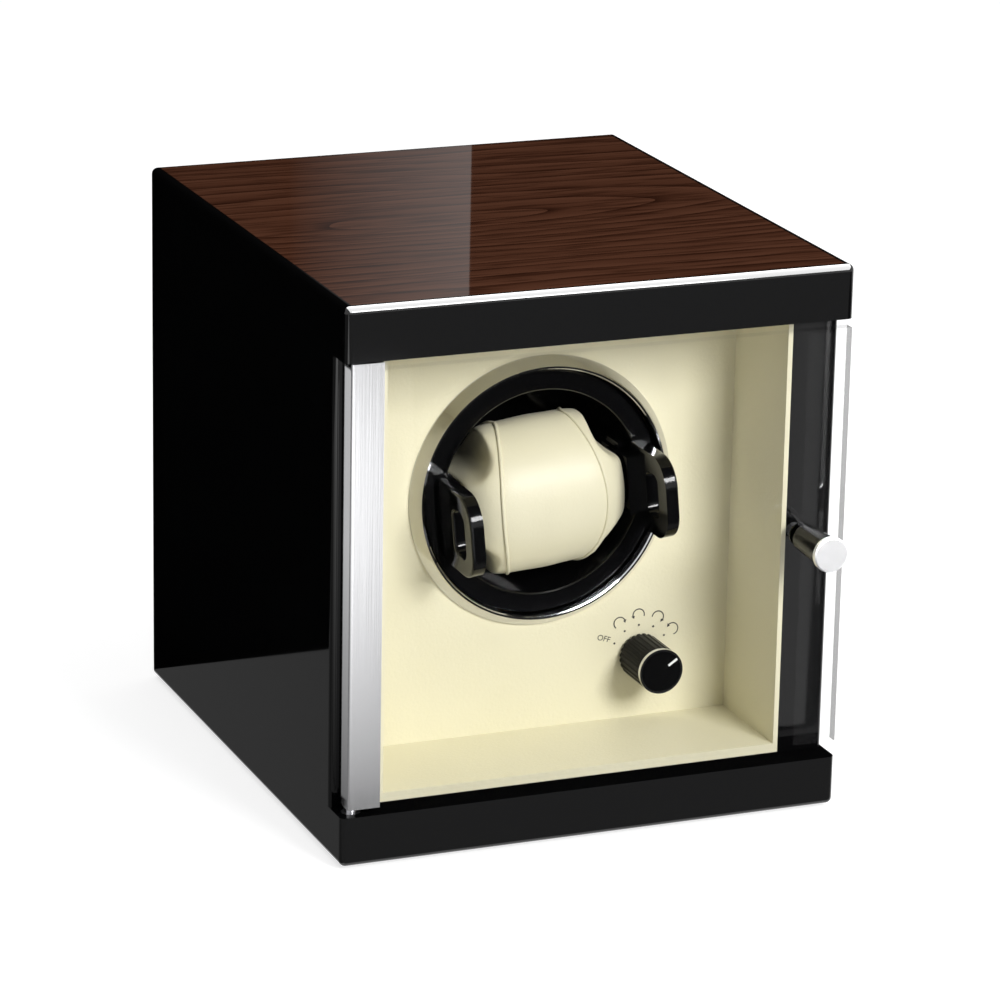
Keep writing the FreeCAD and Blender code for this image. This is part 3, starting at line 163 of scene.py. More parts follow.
# %% Black lacquer
material, tree, shader = start_finish("black_lacquer", (0.0025, 0.0025, 0.0027), roughness=0.05)
vary_roughness(tree, shader, scale=18.0, low=0.03, high=0.06)
ripple = add_node(tree, "ShaderNodeTexNoise", object_places(tree), Scale=55.0, Detail=1.0)
add_bump(tree, shader, ripple.outputs["Fac"], distance=0.00002, strength=0.25)
FINISHES["lacquer_black"] = material
print("finish:", material.name)

# %% [markdown]
# Walnut veneer is sliced through the growth rings of a log. Where the cut runs along the rings it shows
# lines, and where it crosses them it shows long arches. So the figure is made as the tree makes it: rings,
# stretched along the grain and bent by noise. A saw profile gives each ring its soft side and its dark late
# edge.

# %% Walnut figure
GRAIN_STRETCH = (0.22, 1.0, 1.0)
GRAIN_MOVE = (-0.008, -0.034, 0.0)
GRAIN_BEND = (0.03, 0.05, 0.0)
WALNUT_RINGS = [
    (0.0, (0.031, 0.0104, 0.0056)),
    (0.22, (0.070, 0.0258, 0.0140)),
    (1.0, (0.098, 0.0385, 0.0215)),
]


def add_ramp(tree, source, stops):
    """A colour ramp from stops of a place and a colour."""
    ramp = add_node(tree, "ShaderNodeValToRGB", source)
    elements = ramp.color_ramp.elements
    while len(elements) < len(stops):
        elements.new(0.5)
    for element, (place, colour) in zip(elements, stops):
        element.position = place
        element.color = (*colour, 1.0)
    return ramp.outputs["Color"]


material, tree, shader = start_finish("walnut_veneer", (0.05, 0.02, 0.012), roughness=0.22)
grain_places = object_places(tree, scale=GRAIN_STRETCH, move=GRAIN_MOVE)
bend = add_node(tree, "ShaderNodeTexNoise", grain_places, Scale=17.0, Detail=2.0)
bent = add_node(tree, "ShaderNodeVectorMath", bend.outputs["Color"], operation="MULTIPLY_ADD")
bent.inputs[1].default_value = GRAIN_BEND
tree.links.new(grain_places, bent.inputs[2])
figure = add_node(
    tree, "ShaderNodeTexWave", bent.outputs["Vector"],
    wave_type="RINGS", rings_direction="Z", wave_profile="SAW", Scale=40.0,
)
figure_colour = add_ramp(tree, figure.outputs["Fac"], WALNUT_RINGS)
print("figure:", len(WALNUT_RINGS), "tones in each ring")

# %% [markdown]
# Pores are short dark dashes along the grain. A noise stretched far along one axis gives them, and they
# darken the figure where they lie. The veneer lies under clear lacquer, so the gloss comes from a coat, and
# the wood below it has no shine of its own.

# %% Walnut pores and coat
PORE_STRETCH = (40.0, 480.0, 480.0)
PORE_TONES = [(0.36, (0.42, 0.38, 0.36)), (0.52, (1.0, 1.0, 1.0))]
MIX_A, MIX_B, MIX_RESULT = 6, 7, 2  # a Mix node has several sockets of one name; these are the colours
pore_places = object_places(tree, scale=PORE_STRETCH)
pores = add_node(tree, "ShaderNodeTexNoise", pore_places, Scale=1.0, Detail=2.0)
pore_shade = add_ramp(tree, pores.outputs["Fac"], PORE_TONES)
blend = add_node(tree, "ShaderNodeMix", data_type="RGBA", blend_type="MULTIPLY")
blend.inputs["Factor"].default_value = 0.75
tree.links.new(figure_colour, blend.inputs[MIX_A])
tree.links.new(pore_shade, blend.inputs[MIX_B])
tree.links.new(blend.outputs[MIX_RESULT], shader.inputs["Base Color"])
shader.inputs["Coat Weight"].default_value = 1.0
shader.inputs["Coat Roughness"].default_value = 0.02
shader.inputs["Specular IOR Level"].default_value = 0.0
FINISHES["walnut"] = material
print("finish:", material.name)

# %% [markdown]
# Leatherette is a printed film with a pebbled grain about a millimetre across. A Voronoi texture gives the
# pebbles and a finer noise roughens them. One recipe covers the lining boards and, finer, the pillow.

# %% Cream leatherette
def leatherette(name, light, dark, pebble, depth):
    """A pebbled film; pebble counts pebbles per metre and depth is their height."""
    material, tree, shader = start_finish(name, light, roughness=0.42)
    places = object_places(tree)
    cells = add_node(tree, "ShaderNodeTexVoronoi", places, Scale=pebble, feature="SMOOTH_F1")
    fine = add_node(tree, "ShaderNodeTexNoise", places, Scale=pebble * 2.2, Detail=3.0)
    height = add_node(tree, "ShaderNodeMath", cells.outputs["Distance"], operation="ADD")
    tree.links.new(fine.outputs["Fac"], height.inputs[1])
    add_bump(tree, shader, height.outputs["Value"], depth, strength=0.35)
    cloud = add_node(tree, "ShaderNodeTexNoise", places, Scale=38.0, Detail=4.0)
    tint = add_ramp(tree, cloud.outputs["Fac"], [(0.3, dark), (0.7, light)])
    tree.links.new(tint, shader.inputs["Base Color"])
    shader.inputs["Sheen Weight"].default_value = 0.08
    vary_roughness(tree, shader, pebble, low=0.36, high=0.5)
    return material


FINISHES["leatherette_cream"] = leatherette(
    "cream_leatherette", light=(0.76, 0.72, 0.525), dark=(0.735, 0.695, 0.50), pebble=950.0, depth=0.00012,
)
FINISHES["pillow_cream"] = leatherette(
    "pillow_leatherette", light=(0.77, 0.73, 0.54), dark=(0.745, 0.705, 0.515), pebble=1500.0, depth=0.00008,
)
print("finishes: cream leatherette, pillow leatherette")

# %% [markdown]
# Chrome is a smooth metal, so nearly all of its look is what it mirrors. Brushed and turned metals have
# fine lines from the tool. A noise stretched along those lines turns them into bump and roughness, so one
# recipe with a colour, a roughness and a stretch covers them all.

# %% Metals
METALS = {
    "satin_chrome": ("satin_chrome", (0.95, 0.95, 0.96), 0.36, (1800.0, 1800.0, 1800.0)),
    "dark_chrome": ("dark_chrome", (0.02, 0.02, 0.021), 0.2, (1500.0, 300.0, 1500.0)),
    "aluminium": ("satin_aluminium", (0.90, 0.90, 0.915), 0.22, (2600.0, 2600.0, 18.0)),
    "steel": ("plated_steel", (0.58, 0.58, 0.60), 0.28, (1500.0, 60.0, 1500.0)),
    "gearbox_alloy": ("cast_alloy", (0.52, 0.52, 0.53), 0.45, (900.0, 900.0, 900.0)),
    "brass": ("turned_brass", (0.74, 0.53, 0.22), 0.25, (1200.0, 1200.0, 40.0)),
}


def brushed_metal(name, colour, roughness, stretch):
    """Metal with tool lines; they run along the axis with the lowest stretch."""
    material, tree, shader = start_finish(name, colour, roughness, metallic=1.0)
    line_places = object_places(tree, scale=stretch)
    lines = add_node(tree, "ShaderNodeTexNoise", line_places, Scale=1.0, Detail=2.0)
    add_bump(tree, shader, lines.outputs["Fac"], distance=0.00004, strength=0.35)
    spread = add_node(
        tree, "ShaderNodeMapRange", lines.outputs["Fac"], To_Min=roughness - 0.06, To_Max=roughness + 0.08,
    )
    tree.links.new(spread.outputs["Result"], shader.inputs["Roughness"])
    return material


material, tree, shader = start_finish("chrome", (0.64, 0.64, 0.66), roughness=0.07, metallic=1.0)
vary_roughness(tree, shader, scale=60.0, low=0.05, high=0.10)
FINISHES["chrome"] = material
for slot_name, recipe in METALS.items():
    FINISHES[slot_name] = brushed_metal(*recipe)
print("finishes: chrome,", ", ".join(METALS))

# %% [markdown]
# The door is a flat sheet of clear acrylic. A thin sheet hardly bends the view through its faces, so there
# it is plain see-through, and lamps shine through it freely. It mirrors a little, and much more at a slant.
# Only the outer side does so, because a mirror inside such a thin sheet would show the lamps twice.

# %% Clear acrylic faces
material, tree, shader = start_finish("clear_acrylic", (0.985, 0.99, 0.985), roughness=0.0)
clear = tree.nodes.new("ShaderNodeBsdfTransparent")
gloss = add_node(tree, "ShaderNodeBsdfGlossy", Roughness=0.02)
slant = add_node(tree, "ShaderNodeLayerWeight", Blend=0.5)
steep = add_node(tree, "ShaderNodeMath", slant.outputs["Facing"], operation="POWER")
steep.inputs[1].default_value = 4.0
gloss_share = add_node(tree, "ShaderNodeMapRange", steep.outputs["Value"], To_Min=0.012, To_Max=0.8)
side = tree.nodes.new("ShaderNodeNewGeometry")
outside = add_node(tree, "ShaderNodeMapRange", side.outputs["Backfacing"], To_Min=1.0, To_Max=0.0)
outer_gloss = add_node(tree, "ShaderNodeMath", gloss_share.outputs["Result"], operation="MULTIPLY")
tree.links.new(outside.outputs["Result"], outer_gloss.inputs[1])
face = add_node(tree, "ShaderNodeMixShader", outer_gloss.outputs["Value"])
tree.links.new(clear.outputs["BSDF"], face.inputs[1])
tree.links.new(gloss.outputs["BSDF"], face.inputs[2])
print("clear faces ready")

# %% [markdown]
# The free end of the sheet is polished, and there one looks into the thickness. So the last fraction of a
# millimetre refracts as solid acrylic does. A share that grows along X picks that end out.

# %% Clear acrylic end
END_FROM, END_TO = 0.0796, 0.0799
shader.inputs["Transmission Weight"].default_value = 1.0
shader.inputs["IOR"].default_value = 1.49
scuffs = add_node(tree, "ShaderNodeTexNoise", object_places(tree), Scale=40.0, Detail=2.0)
add_bump(tree, shader, scuffs.outputs["Fac"], distance=0.000002, strength=0.1)
along = add_node(tree, "ShaderNodeSeparateXYZ", object_places(tree))
end_share = add_node(
    tree, "ShaderNodeMapRange", along.outputs["X"],
    From_Min=END_FROM, From_Max=END_TO, To_Min=0.0, To_Max=0.6,
)
choice = add_node(tree, "ShaderNodeMixShader", end_share.outputs["Result"])
tree.links.new(face.outputs["Shader"], choice.inputs[1])
tree.links.new(shader.outputs["BSDF"], choice.inputs[2])
tree.links.new(choice.outputs["Shader"], tree.nodes["Material Output"].inputs["Surface"])
FINISHES["acrylic_clear"] = material
print("finish:", material.name)

# %% [markdown]
# Moulded plastics differ in gloss and in the fine texture that the mould leaves. One recipe with a colour,
# a roughness and a grain covers the drum, the loops, the knob and the hidden pieces. Felt and board are
# made by other means, but at this size they too are an even colour with a grain, so they share it.

# %% Plastics, felt and board
def moulded(name, colour, roughness, grain=1800.0, depth=0.00002, shine=0.5):
    """An even colour with a fine grain; shine weakens or strengthens the mirror."""
    material, tree, shader = start_finish(name, colour, roughness)
    shader.inputs["Specular IOR Level"].default_value = shine
    texture = add_node(tree, "ShaderNodeTexNoise", object_places(tree), Scale=grain, Detail=2.0)
    add_bump(tree, shader, texture.outputs["Fac"], depth, strength=0.3)
    vary_roughness(tree, shader, scale=90.0, low=max(0.02, roughness - 0.04), high=roughness + 0.05)
    return material


FINISHES.update({
    "plastic_black_gloss": moulded("gloss_black_moulding", (0.003, 0.003, 0.0034), 0.09, shine=0.3),
    "plastic_black_matte": moulded("matt_black_moulding", (0.006, 0.006, 0.0064), 0.3, shine=0.3),
    "knob_black": moulded("knob_black", (0.0035, 0.0035, 0.0038), 0.22, shine=0.06),
    "plastic_white": moulded("white_fill", (0.88, 0.88, 0.87), 0.3),
    "nylon": moulded("natural_nylon", (0.80, 0.78, 0.70), 0.4),
    "circuit_green": moulded("circuit_laminate", (0.02, 0.16, 0.06), 0.3, grain=700.0),
    "component_black": moulded("component_black", (0.025, 0.025, 0.027), 0.5),
    "felt_black": moulded("black_felt", (0.016, 0.016, 0.017), 0.95, grain=2600.0, depth=0.0003),
    "board_black": moulded("black_board", (0.014, 0.014, 0.015), 0.5, grain=900.0, depth=0.00005),
    "bare_board": moulded("bare_fibreboard", (0.36, 0.24, 0.12), 0.8, grain=1200.0, depth=0.0001),
})
print("finishes in all:", len(FINISHES))

# %% [markdown]
# Each CAD node names the kind of stuff that it is made of, so most are dressed by that name alone. A few
# small pieces look different in the photograph from others of their kind, and they are dressed one by one
# afterwards.

# %% Dressing the nodes
DRESSED_BY_HAND = {
    "door_knob": "dark_chrome",
    "door_knob_screw": "dark_chrome",
    "door_knob_cap": "satin_chrome",
    "mode_knob": "knob_black",
    "hinge_bush_top": "steel",
    "hinge_bush_bottom": "steel",
}


def dress(node_name, finish):
    """Put one finish on every slot of a node."""
    for node_slot in frame["nodes"][node_name].material_slots:
        node_slot.material = FINISHES[finish]


for entry in frame["record"]["subparts"]:
    dress(entry["node"], entry["material_slot"])
for node_name, finish in DRESSED_BY_HAND.items():
    dress(node_name, finish)

# %% [markdown]
# The pillow is foam in a sewn cover. Its CAD solid is a good start, but its faces are few and its edges
# sharp. So the solid is copied, turned upright about its own middle, remeshed into even small faces and
# softened.

# %% Pillow cover
DRUM_TILT = math.radians(5.5)
DRUM_AXIS = Vector((0.0, 0.0, 0.0958))
PILLOW_MIDDLE = Vector((0.0, -0.038, -0.002))
SAME_POINT = 0.00002
COVER_GRID = 0.0014
drum_turn = Matrix.Translation(DRUM_AXIS) @ Matrix.Rotation(DRUM_TILT, 4, Vector((0.0, -1.0, 0.0)))
pillow_place = drum_turn @ Matrix.Translation(PILLOW_MIDDLE)
pillow_home = pillow_place.inverted()


def new_piece(name, mesh, material):
    """A mesh as an object of the scene, with a material if it has none."""
    piece = bpy.data.objects.new(name, mesh)
    scene.collection.objects.link(piece)
    if not mesh.materials:
        mesh.materials.append(material)
    return piece


def finished_mesh(piece):
    """A plain mesh of a piece with its modifiers worked in."""
    graph = bpy.context.evaluated_depsgraph_get()
    return bpy.data.meshes.new_from_object(piece.evaluated_get(graph))


def apply_modifiers(piece):
    """Work a piece's modifiers into its mesh."""
    mesh = finished_mesh(piece)
    piece.modifiers.clear()
    piece.data = mesh


cover_mesh = frame["nodes"]["pillow"].data.copy()
cover_mesh.transform(pillow_home)
work = bmesh.new()
work.from_mesh(cover_mesh)
bmesh.ops.remove_doubles(work, verts=work.verts, dist=SAME_POINT)
bmesh.ops.recalc_face_normals(work, faces=work.faces)
work.to_mesh(cover_mesh)
work.free()
cover_mesh.materials.clear()
cover = new_piece("pillow_cover", cover_mesh, FINISHES["pillow_cream"])
remesh = cover.modifiers.new("remesh", "REMESH")
remesh.mode = "VOXEL"
remesh.voxel_size = COVER_GRID
apply_modifiers(cover)
soften = cover.modifiers.new("soften", "SMOOTH")
soften.factor = 0.5
soften.iterations = 6
apply_modifiers(cover)
print("cover points:", len(cover.data.vertices))

# %% [markdown]
# Foam presses its cover outward, so the cloth swells between the places that hold it. The cover is shrunk a
# little and blown up again as cloth under pressure. The walls of the bore around the hard core are pinned.

# %% Pillow swelling
SHRINK = 0.0004
BORE_HALF_DEPTH, BORE_HALF_HEIGHT = 0.0084, 0.0094
CLOTH_STEPS = 20
shell = cover.data
start = [vertex.co + vertex.normal * -SHRINK for vertex in shell.vertices]
held = [
    index for index, vertex in enumerate(shell.vertices)
    if abs(vertex.co.y) < BORE_HALF_DEPTH and abs(vertex.co.z) < BORE_HALF_HEIGHT
]
for vertex, place in zip(shell.vertices, start):
    vertex.co = place
pins = cover.vertex_groups.new(name="bore")
pins.add(held, 1.0, "REPLACE")
cloth = cover.modifiers.new("swelling", "CLOTH")
cloth.settings.quality = 5
cloth.settings.mass = 0.05
cloth.settings.use_pressure = True
cloth.settings.uniform_pressure_force = 4.0
cloth.settings.vertex_group_mass = "bore"
cloth.settings.effector_weights.gravity = 0.0
cloth.point_cache.frame_start = 1
cloth.point_cache.frame_end = CLOTH_STEPS
for step in range(1, CLOTH_STEPS + 1):
    scene.frame_set(step)
apply_modifiers(cover)
scene.frame_set(1)
print("pinned points:", len(held), "of", len(start))

# %% [markdown]
# The cloth must not leave the space that the solid holds, or it would run into the drum. So each point may
# move only a short way from where it started, and the two ends stay behind the loops. One round of
# subdivision then gives a smooth skin, and a search tree of it is kept for the seams.

# %% Pillow limits
SWELL_LIMIT = 0.0012
END_LIMIT = 0.0262
for vertex, place in zip(cover.data.vertices, start):
    move = vertex.co - place
    if move.length > SWELL_LIMIT:
        move = move * (SWELL_LIMIT / move.length)
    vertex.co = place + move
    vertex.co.x = max(-END_LIMIT, min(END_LIMIT, vertex.co.x))
cover.vertex_groups.clear()
divide = cover.modifiers.new("fine", "SUBSURF")
divide.levels = 1
divide.render_levels = 1
apply_modifiers(cover)
cover.data.shade_smooth()
cover_tree = BVHTree.FromPolygons(
    [vertex.co for vertex in cover.data.vertices],
    [polygon.vertices for polygon in cover.data.polygons],
)
print("cover faces:", len(cover.data.polygons))

# %% [markdown]
# Two seams run round the pillow where the end pieces meet the middle band. Each path is found by casting
# rays at the cover toward the pillow's own line, so that it lies on the cloth all the way. The paths bow
# outward at the front and the back, where the cover is fullest.

# %% Seam paths
SEAM_STEPS = 96
SEAM_SIDES = {"left": -1, "right": 1}
SEAM_REACH = 0.0108
SEAM_BOW = 0.0062
SEAM_LIFT = 0.0001
RAY_START = 0.06


def seam_points(side):
    """Points of one seam, round the pillow and a little above the cloth."""
    points = []
    for step in range(SEAM_STEPS):
        turn = 2 * math.pi * step / SEAM_STEPS
        facing = abs(math.cos(turn))
        reach = side * (SEAM_REACH + SEAM_BOW * facing)
        aim = Vector((0.0, -math.cos(turn), math.sin(turn)))
        far = Vector((reach, 0.0, 0.0)) + aim * RAY_START
        hit = cover_tree.ray_cast(far, -aim)[0]
        points.append(hit + aim * SEAM_LIFT)
    return points


def path_object(name, points):
    """A closed curve through points."""
    curve = bpy.data.curves.new(name, "CURVE")
    curve.dimensions = "3D"
    spline = curve.splines.new("POLY")
    spline.points.add(len(points) - 1)
    for point, place in zip(spline.points, points):
        point.co = (*place, 1.0)
    spline.use_cyclic_u = True
    path = bpy.data.objects.new(name, curve)
    scene.collection.objects.link(path)
    return path


seam_paths = {name: path_object(f"seam_path_{name}", seam_points(side)) for name, side in SEAM_SIDES.items()}
print("seam points each:", SEAM_STEPS)

# %% [markdown]
# A seam is a thin cord with stitches set along it. Both repeat along a path, which is what Geometry Nodes
# does well: one branch sweeps a circle into the cord, and the other sets a small long bead at even gaps.
# The sizes are inputs of the tree, so the same tree could sew a coarser seam.

# %% Seam tree
SEAM_SIZES = {"Cord Radius": 0.00055, "Stitch Gap": 0.0024, "Stitch Size": 0.00028}
STITCH_FORM = (0.8, 0.8, 2.6)


def new_tree(name, sizes):
    """An empty geometry tree with one geometry input and named sizes."""
    tree = bpy.data.node_groups.new(name, "GeometryNodeTree")
    tree.interface.new_socket("Geometry", in_out="INPUT", socket_type="NodeSocketGeometry")
    for label, value in sizes.items():
        socket = tree.interface.new_socket(label, in_out="INPUT", socket_type="NodeSocketFloat")
        socket.default_value = value
    tree.interface.new_socket("Geometry", in_out="OUTPUT", socket_type="NodeSocketGeometry")
    return tree, tree.nodes.new("NodeGroupInput"), tree.nodes.new("NodeGroupOutput")


seam_tree, seam_in, seam_out = new_tree("seam", SEAM_SIZES)
link = seam_tree.links.new
cord_profile = add_node(seam_tree, "GeometryNodeCurvePrimitiveCircle", Resolution=8)
cord = seam_tree.nodes.new("GeometryNodeCurveToMesh")
spaced = add_node(seam_tree, "GeometryNodeCurveToPoints", mode="LENGTH")
stitch = add_node(seam_tree, "GeometryNodeMeshUVSphere", Segments=8, Rings=5)
stitched = add_node(seam_tree, "GeometryNodeInstanceOnPoints", Scale=STITCH_FORM)
together = seam_tree.nodes.new("GeometryNodeJoinGeometry")
whole = seam_tree.nodes.new("GeometryNodeRealizeInstances")
coloured = add_node(seam_tree, "GeometryNodeSetMaterial", Material=FINISHES["pillow_cream"])
link(seam_in.outputs["Cord Radius"], cord_profile.inputs["Radius"])
link(seam_in.outputs["Geometry"], cord.inputs["Curve"])
link(cord_profile.outputs["Curve"], cord.inputs["Profile Curve"])
link(seam_in.outputs["Geometry"], spaced.inputs["Curve"])
link(seam_in.outputs["Stitch Gap"], spaced.inputs["Length"])
link(seam_in.outputs["Stitch Size"], stitch.inputs["Radius"])
link(spaced.outputs["Points"], stitched.inputs["Points"])
link(spaced.outputs["Rotation"], stitched.inputs["Rotation"])
link(stitch.outputs["Mesh"], stitched.inputs["Instance"])
link(cord.outputs["Mesh"], together.inputs["Geometry"])
link(stitched.outputs["Instances"], together.inputs["Geometry"])
link(together.outputs["Geometry"], whole.inputs["Geometry"])
link(whole.outputs["Geometry"], coloured.inputs["Geometry"])
link(coloured.outputs["Geometry"], seam_out.inputs["Geometry"])
print("seam tree nodes:", len(seam_tree.nodes))

# %% [markdown]
# The tree is run on each path and its result kept as a plain mesh, because an exported model keeps no
# trees. Cover and seams then go back to the pillow's tilted place and ride with it. The cover takes the
# place of the CAD pillow, which is hidden.

# %% Sewn pillow
def grow(name, base, tree, material):
    """Run a geometry tree on an object and keep the plain mesh as a new piece."""
    modifier = base.modifiers.new("tree", "NODES")
    modifier.node_group = tree
    for item in tree.interface.items_tree:
        if item.in_out == "INPUT" and item.socket_type == "NodeSocketFloat":
            modifier[item.identifier] = item.default_value
    mesh = finished_mesh(base)
    bpy.data.objects.remove(base)
    mesh.materials.clear()
    return new_piece(name, mesh, material)


seams = [
    grow(f"pillow_seam_{name}", path, seam_tree, FINISHES["pillow_cream"]) for name, path in seam_paths.items()
]
for piece in (cover, *seams):
    piece.data.transform(pillow_place)
    piece.data.update()
    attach(piece, "pillow")
for seam in seams:
    seam.data.shade_smooth()
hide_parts("pillow")
print("seam faces:", [len(seam.data.polygons) for seam in seams])

# %% [markdown]
# The marks around the mode knob are printed in dark ink: a word for off, four curved arrows and a dot for
# each position. They are flat shapes a few hundredths of a millimetre in front of the panel, close enough
# to look printed and far enough to keep the two surfaces from fighting. All sit on circles about the knob's
# middle.

# %% Ink and places
PANEL_FACE = -0.0438
INK_LIFT = 0.00004
MARK_MIDDLE = Vector((0.0345, 0.0, 0.0393))
MARK_FACE = PANEL_FACE - INK_LIFT
MARK_RADIUS = 0.013
DOT_RING_RADIUS = 0.0097
MARK_TURNS = (152.0, 122.5, 93.0, 63.5, 34.0)
INK_TONES = [(0.3, (0.022, 0.021, 0.019)), (0.7, (0.05, 0.047, 0.042))]
ink, ink_tree, ink_shader = start_finish("dark_ink", (0.03, 0.028, 0.025), roughness=0.5)
speckle = add_node(ink_tree, "ShaderNodeTexNoise", object_places(ink_tree), Scale=2500.0, Detail=2.0)
ink_tint = add_ramp(ink_tree, speckle.outputs["Fac"], INK_TONES)
ink_tree.links.new(ink_tint, ink_shader.inputs["Base Color"])


def around_knob(radius, turn):
    """A place on the panel at a radius and a turn in degrees about the knob."""
    angle = math.radians(turn)
    return MARK_MIDDLE + Vector((radius * math.cos(angle), MARK_FACE, radius * math.sin(angle)))


print("positions of the knob:", len(MARK_TURNS))

# %% [markdown]
# Each mark is drawn as flat faces. A dot is one many-sided face. An arrow is a thin band of small faces
# along an arc, with a triangle at its end. The arrows turn one way and then the other, as the drum's modes
# do.

# %% Dots and arrows
DOT_RADIUS = 0.00035
DOT_SIDES = 20
ARROW_RADIUS = 0.0019
ARROW_WIDTH = 0.00036
ARROW_STEPS = 22
ARROW_TIP_TURN = 0.55
ARROW_TIP_SPREAD = 1.7
ARROW_TURNS = ((110, -205), (-110, 205), (110, -205), (-110, 205))


def on_circle(place, turn, radius):
    """A place on an upright circle that faces the front."""
    return place + Vector((radius * math.cos(turn), 0.0, radius * math.sin(turn)))


def flat_face(work, corners):
    """One flat face on the panel that looks to the front."""
    face = work.faces.new([work.verts.new(corner) for corner in corners])
    face.normal_update()
    if face.normal.y > 0:
        face.normal_flip()


def draw_dot(work, place, radius):
    """A filled circle."""
    flat_face(work, [on_circle(place, 2 * math.pi * step / DOT_SIDES, radius) for step in range(DOT_SIDES)])


def draw_arrow(work, place, radius, start_turn, sweep, width):
    """A curved arrow: a thin band along an arc with a pointed end."""
    first = math.radians(start_turn)
    last = first + math.radians(sweep)
    inner, outer = radius - width / 2, radius + width / 2
    for step in range(ARROW_STEPS):
        near = first + (last - first) * step / ARROW_STEPS
        far = first + (last - first) * (step + 1) / ARROW_STEPS
        flat_face(work, [
            on_circle(place, near, inner), on_circle(place, near, outer),
            on_circle(place, far, outer), on_circle(place, far, inner),
        ])
    tip = last + math.copysign(ARROW_TIP_TURN, sweep)
    spread = ARROW_TIP_SPREAD * width
    flat_face(work, [
        on_circle(place, last, radius - spread), on_circle(place, last, radius + spread),
        on_circle(place, tip, radius),
    ])


marks = bmesh.new()
for turn in MARK_TURNS:
    draw_dot(marks, around_knob(DOT_RING_RADIUS, turn), DOT_RADIUS)
for turn, (start_turn, sweep) in zip(MARK_TURNS[1:], ARROW_TURNS):
    draw_arrow(marks, around_knob(MARK_RADIUS, turn), ARROW_RADIUS, turn + start_turn, sweep, ARROW_WIDTH)
marks_mesh = bpy.data.meshes.new("mode_marks")
marks.to_mesh(marks_mesh)
marks.free()
mode_marks = new_piece("mode_marks", marks_mesh, ink)
print("marks:", len(marks_mesh.polygons), "faces")

# %% [markdown]
# The word is set with the built-in font, turned into a mesh and leaned a little, as the print on the panel
# leans about the knob. Marks and word ride with the case, since the panel is fixed to it.

# %% Printed word
WORD_SIZE = 0.0026
WORD_LEAN = math.radians(-18)
WORD_OUT = 0.0008
word_curve = bpy.data.curves.new("off_word", "FONT")
word_curve.body = "OFF"
word_curve.size = WORD_SIZE
word_curve.align_x = "CENTER"
word_curve.align_y = "CENTER"
word_base = bpy.data.objects.new("off_word_curve", word_curve)
scene.collection.objects.link(word_base)
word_mesh = finished_mesh(word_base)
bpy.data.objects.remove(word_base)
word_place = around_knob(MARK_RADIUS + WORD_OUT, MARK_TURNS[0])
word_turn = Matrix.Rotation(math.radians(90), 4, "X") @ Matrix.Rotation(WORD_LEAN, 4, "Z")
word_mesh.transform(Matrix.Translation(word_place) @ word_turn)
word_mesh.materials.clear()
off_word = new_piece("off_word", word_mesh, ink)
for piece in (mode_marks, off_word):
    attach(piece, "case")
print("word:", len(word_mesh.polygons), "faces")

# %% [markdown]
# The rear panel is held by six pan-head screws. One head is modelled here by turning a profile about its
# axis, as the real one is formed in a die. Its radius and its height keep to those of the CAD screws.

# %% Screw head
HEAD_RADIUS = 0.0022
HEAD_HEIGHT = 0.0014
HEAD_STEPS = 24
HEAD_PROFILE = [(0.0, 0.0), (1.0, 0.0), (1.0, 0.35), (0.93, 0.6), (0.75, 0.85), (0.45, 1.0), (0.0, 1.0)]


def head_ring(work, share_radius, share_height):
    """One ring of the head, or a single point on its axis."""
    height = share_height * HEAD_HEIGHT
    if share_radius == 0.0:
        return [work.verts.new((0.0, height, 0.0))]
    radius = share_radius * HEAD_RADIUS
    turns = [2 * math.pi * step / HEAD_STEPS for step in range(HEAD_STEPS)]
    return [work.verts.new((radius * math.cos(turn), height, radius * math.sin(turn))) for turn in turns]


head = bmesh.new()
rows = [head_ring(head, *shares) for shares in HEAD_PROFILE]
for lower, upper in zip(rows, rows[1:]):
    for step in range(HEAD_STEPS):
        following = (step + 1) % HEAD_STEPS
        corners = [
            lower[step % len(lower)], lower[following % len(lower)],
            upper[following % len(upper)], upper[step % len(upper)],
        ]
        head.faces.new(list(dict.fromkeys(corners)))
bmesh.ops.recalc_face_normals(head, faces=head.faces)
head_mesh = bpy.data.meshes.new("screw_head")
head.to_mesh(head_mesh)
head.free()
head_piece = new_piece("screw_head", head_mesh, FINISHES["steel"])
print("head faces:", len(head_mesh.polygons))

# %% [markdown]
# The cross slot is pressed into a real head. Here two thin bars are laid across each other at the top and
# taken away from the head, which leaves the same cross and the same floor below it.

# %% Cross slot
SLOT_BARS = ((0.0023, 0.0016, 0.0005), (0.0005, 0.0016, 0.0023))
cutter = bmesh.new()
for size in SLOT_BARS:
    made = bmesh.ops.create_cube(cutter, size=1.0)
    bmesh.ops.scale(cutter, vec=size, verts=made["verts"])
    bmesh.ops.translate(cutter, vec=(0.0, HEAD_HEIGHT, 0.0), verts=made["verts"])
cutter_mesh = bpy.data.meshes.new("cross_cutter")
cutter.to_mesh(cutter_mesh)
cutter.free()
cutter_piece = new_piece("cross_cutter", cutter_mesh, FINISHES["steel"])
slotting = head_piece.modifiers.new("slot", "BOOLEAN")
slotting.operation = "DIFFERENCE"
slotting.solver = "EXACT"
slotting.use_self = True
slotting.object = cutter_piece
apply_modifiers(head_piece)
bpy.data.objects.remove(cutter_piece)
print("slotted head faces:", len(head_piece.data.polygons))

# %% [markdown]
# The heads repeat, so a tree of Geometry Nodes sets the one head on six points, each turned by chance as a
# screwdriver leaves it. The points are measured from the CAD screws. The copies are made real, because the
# exported model keeps no instances.

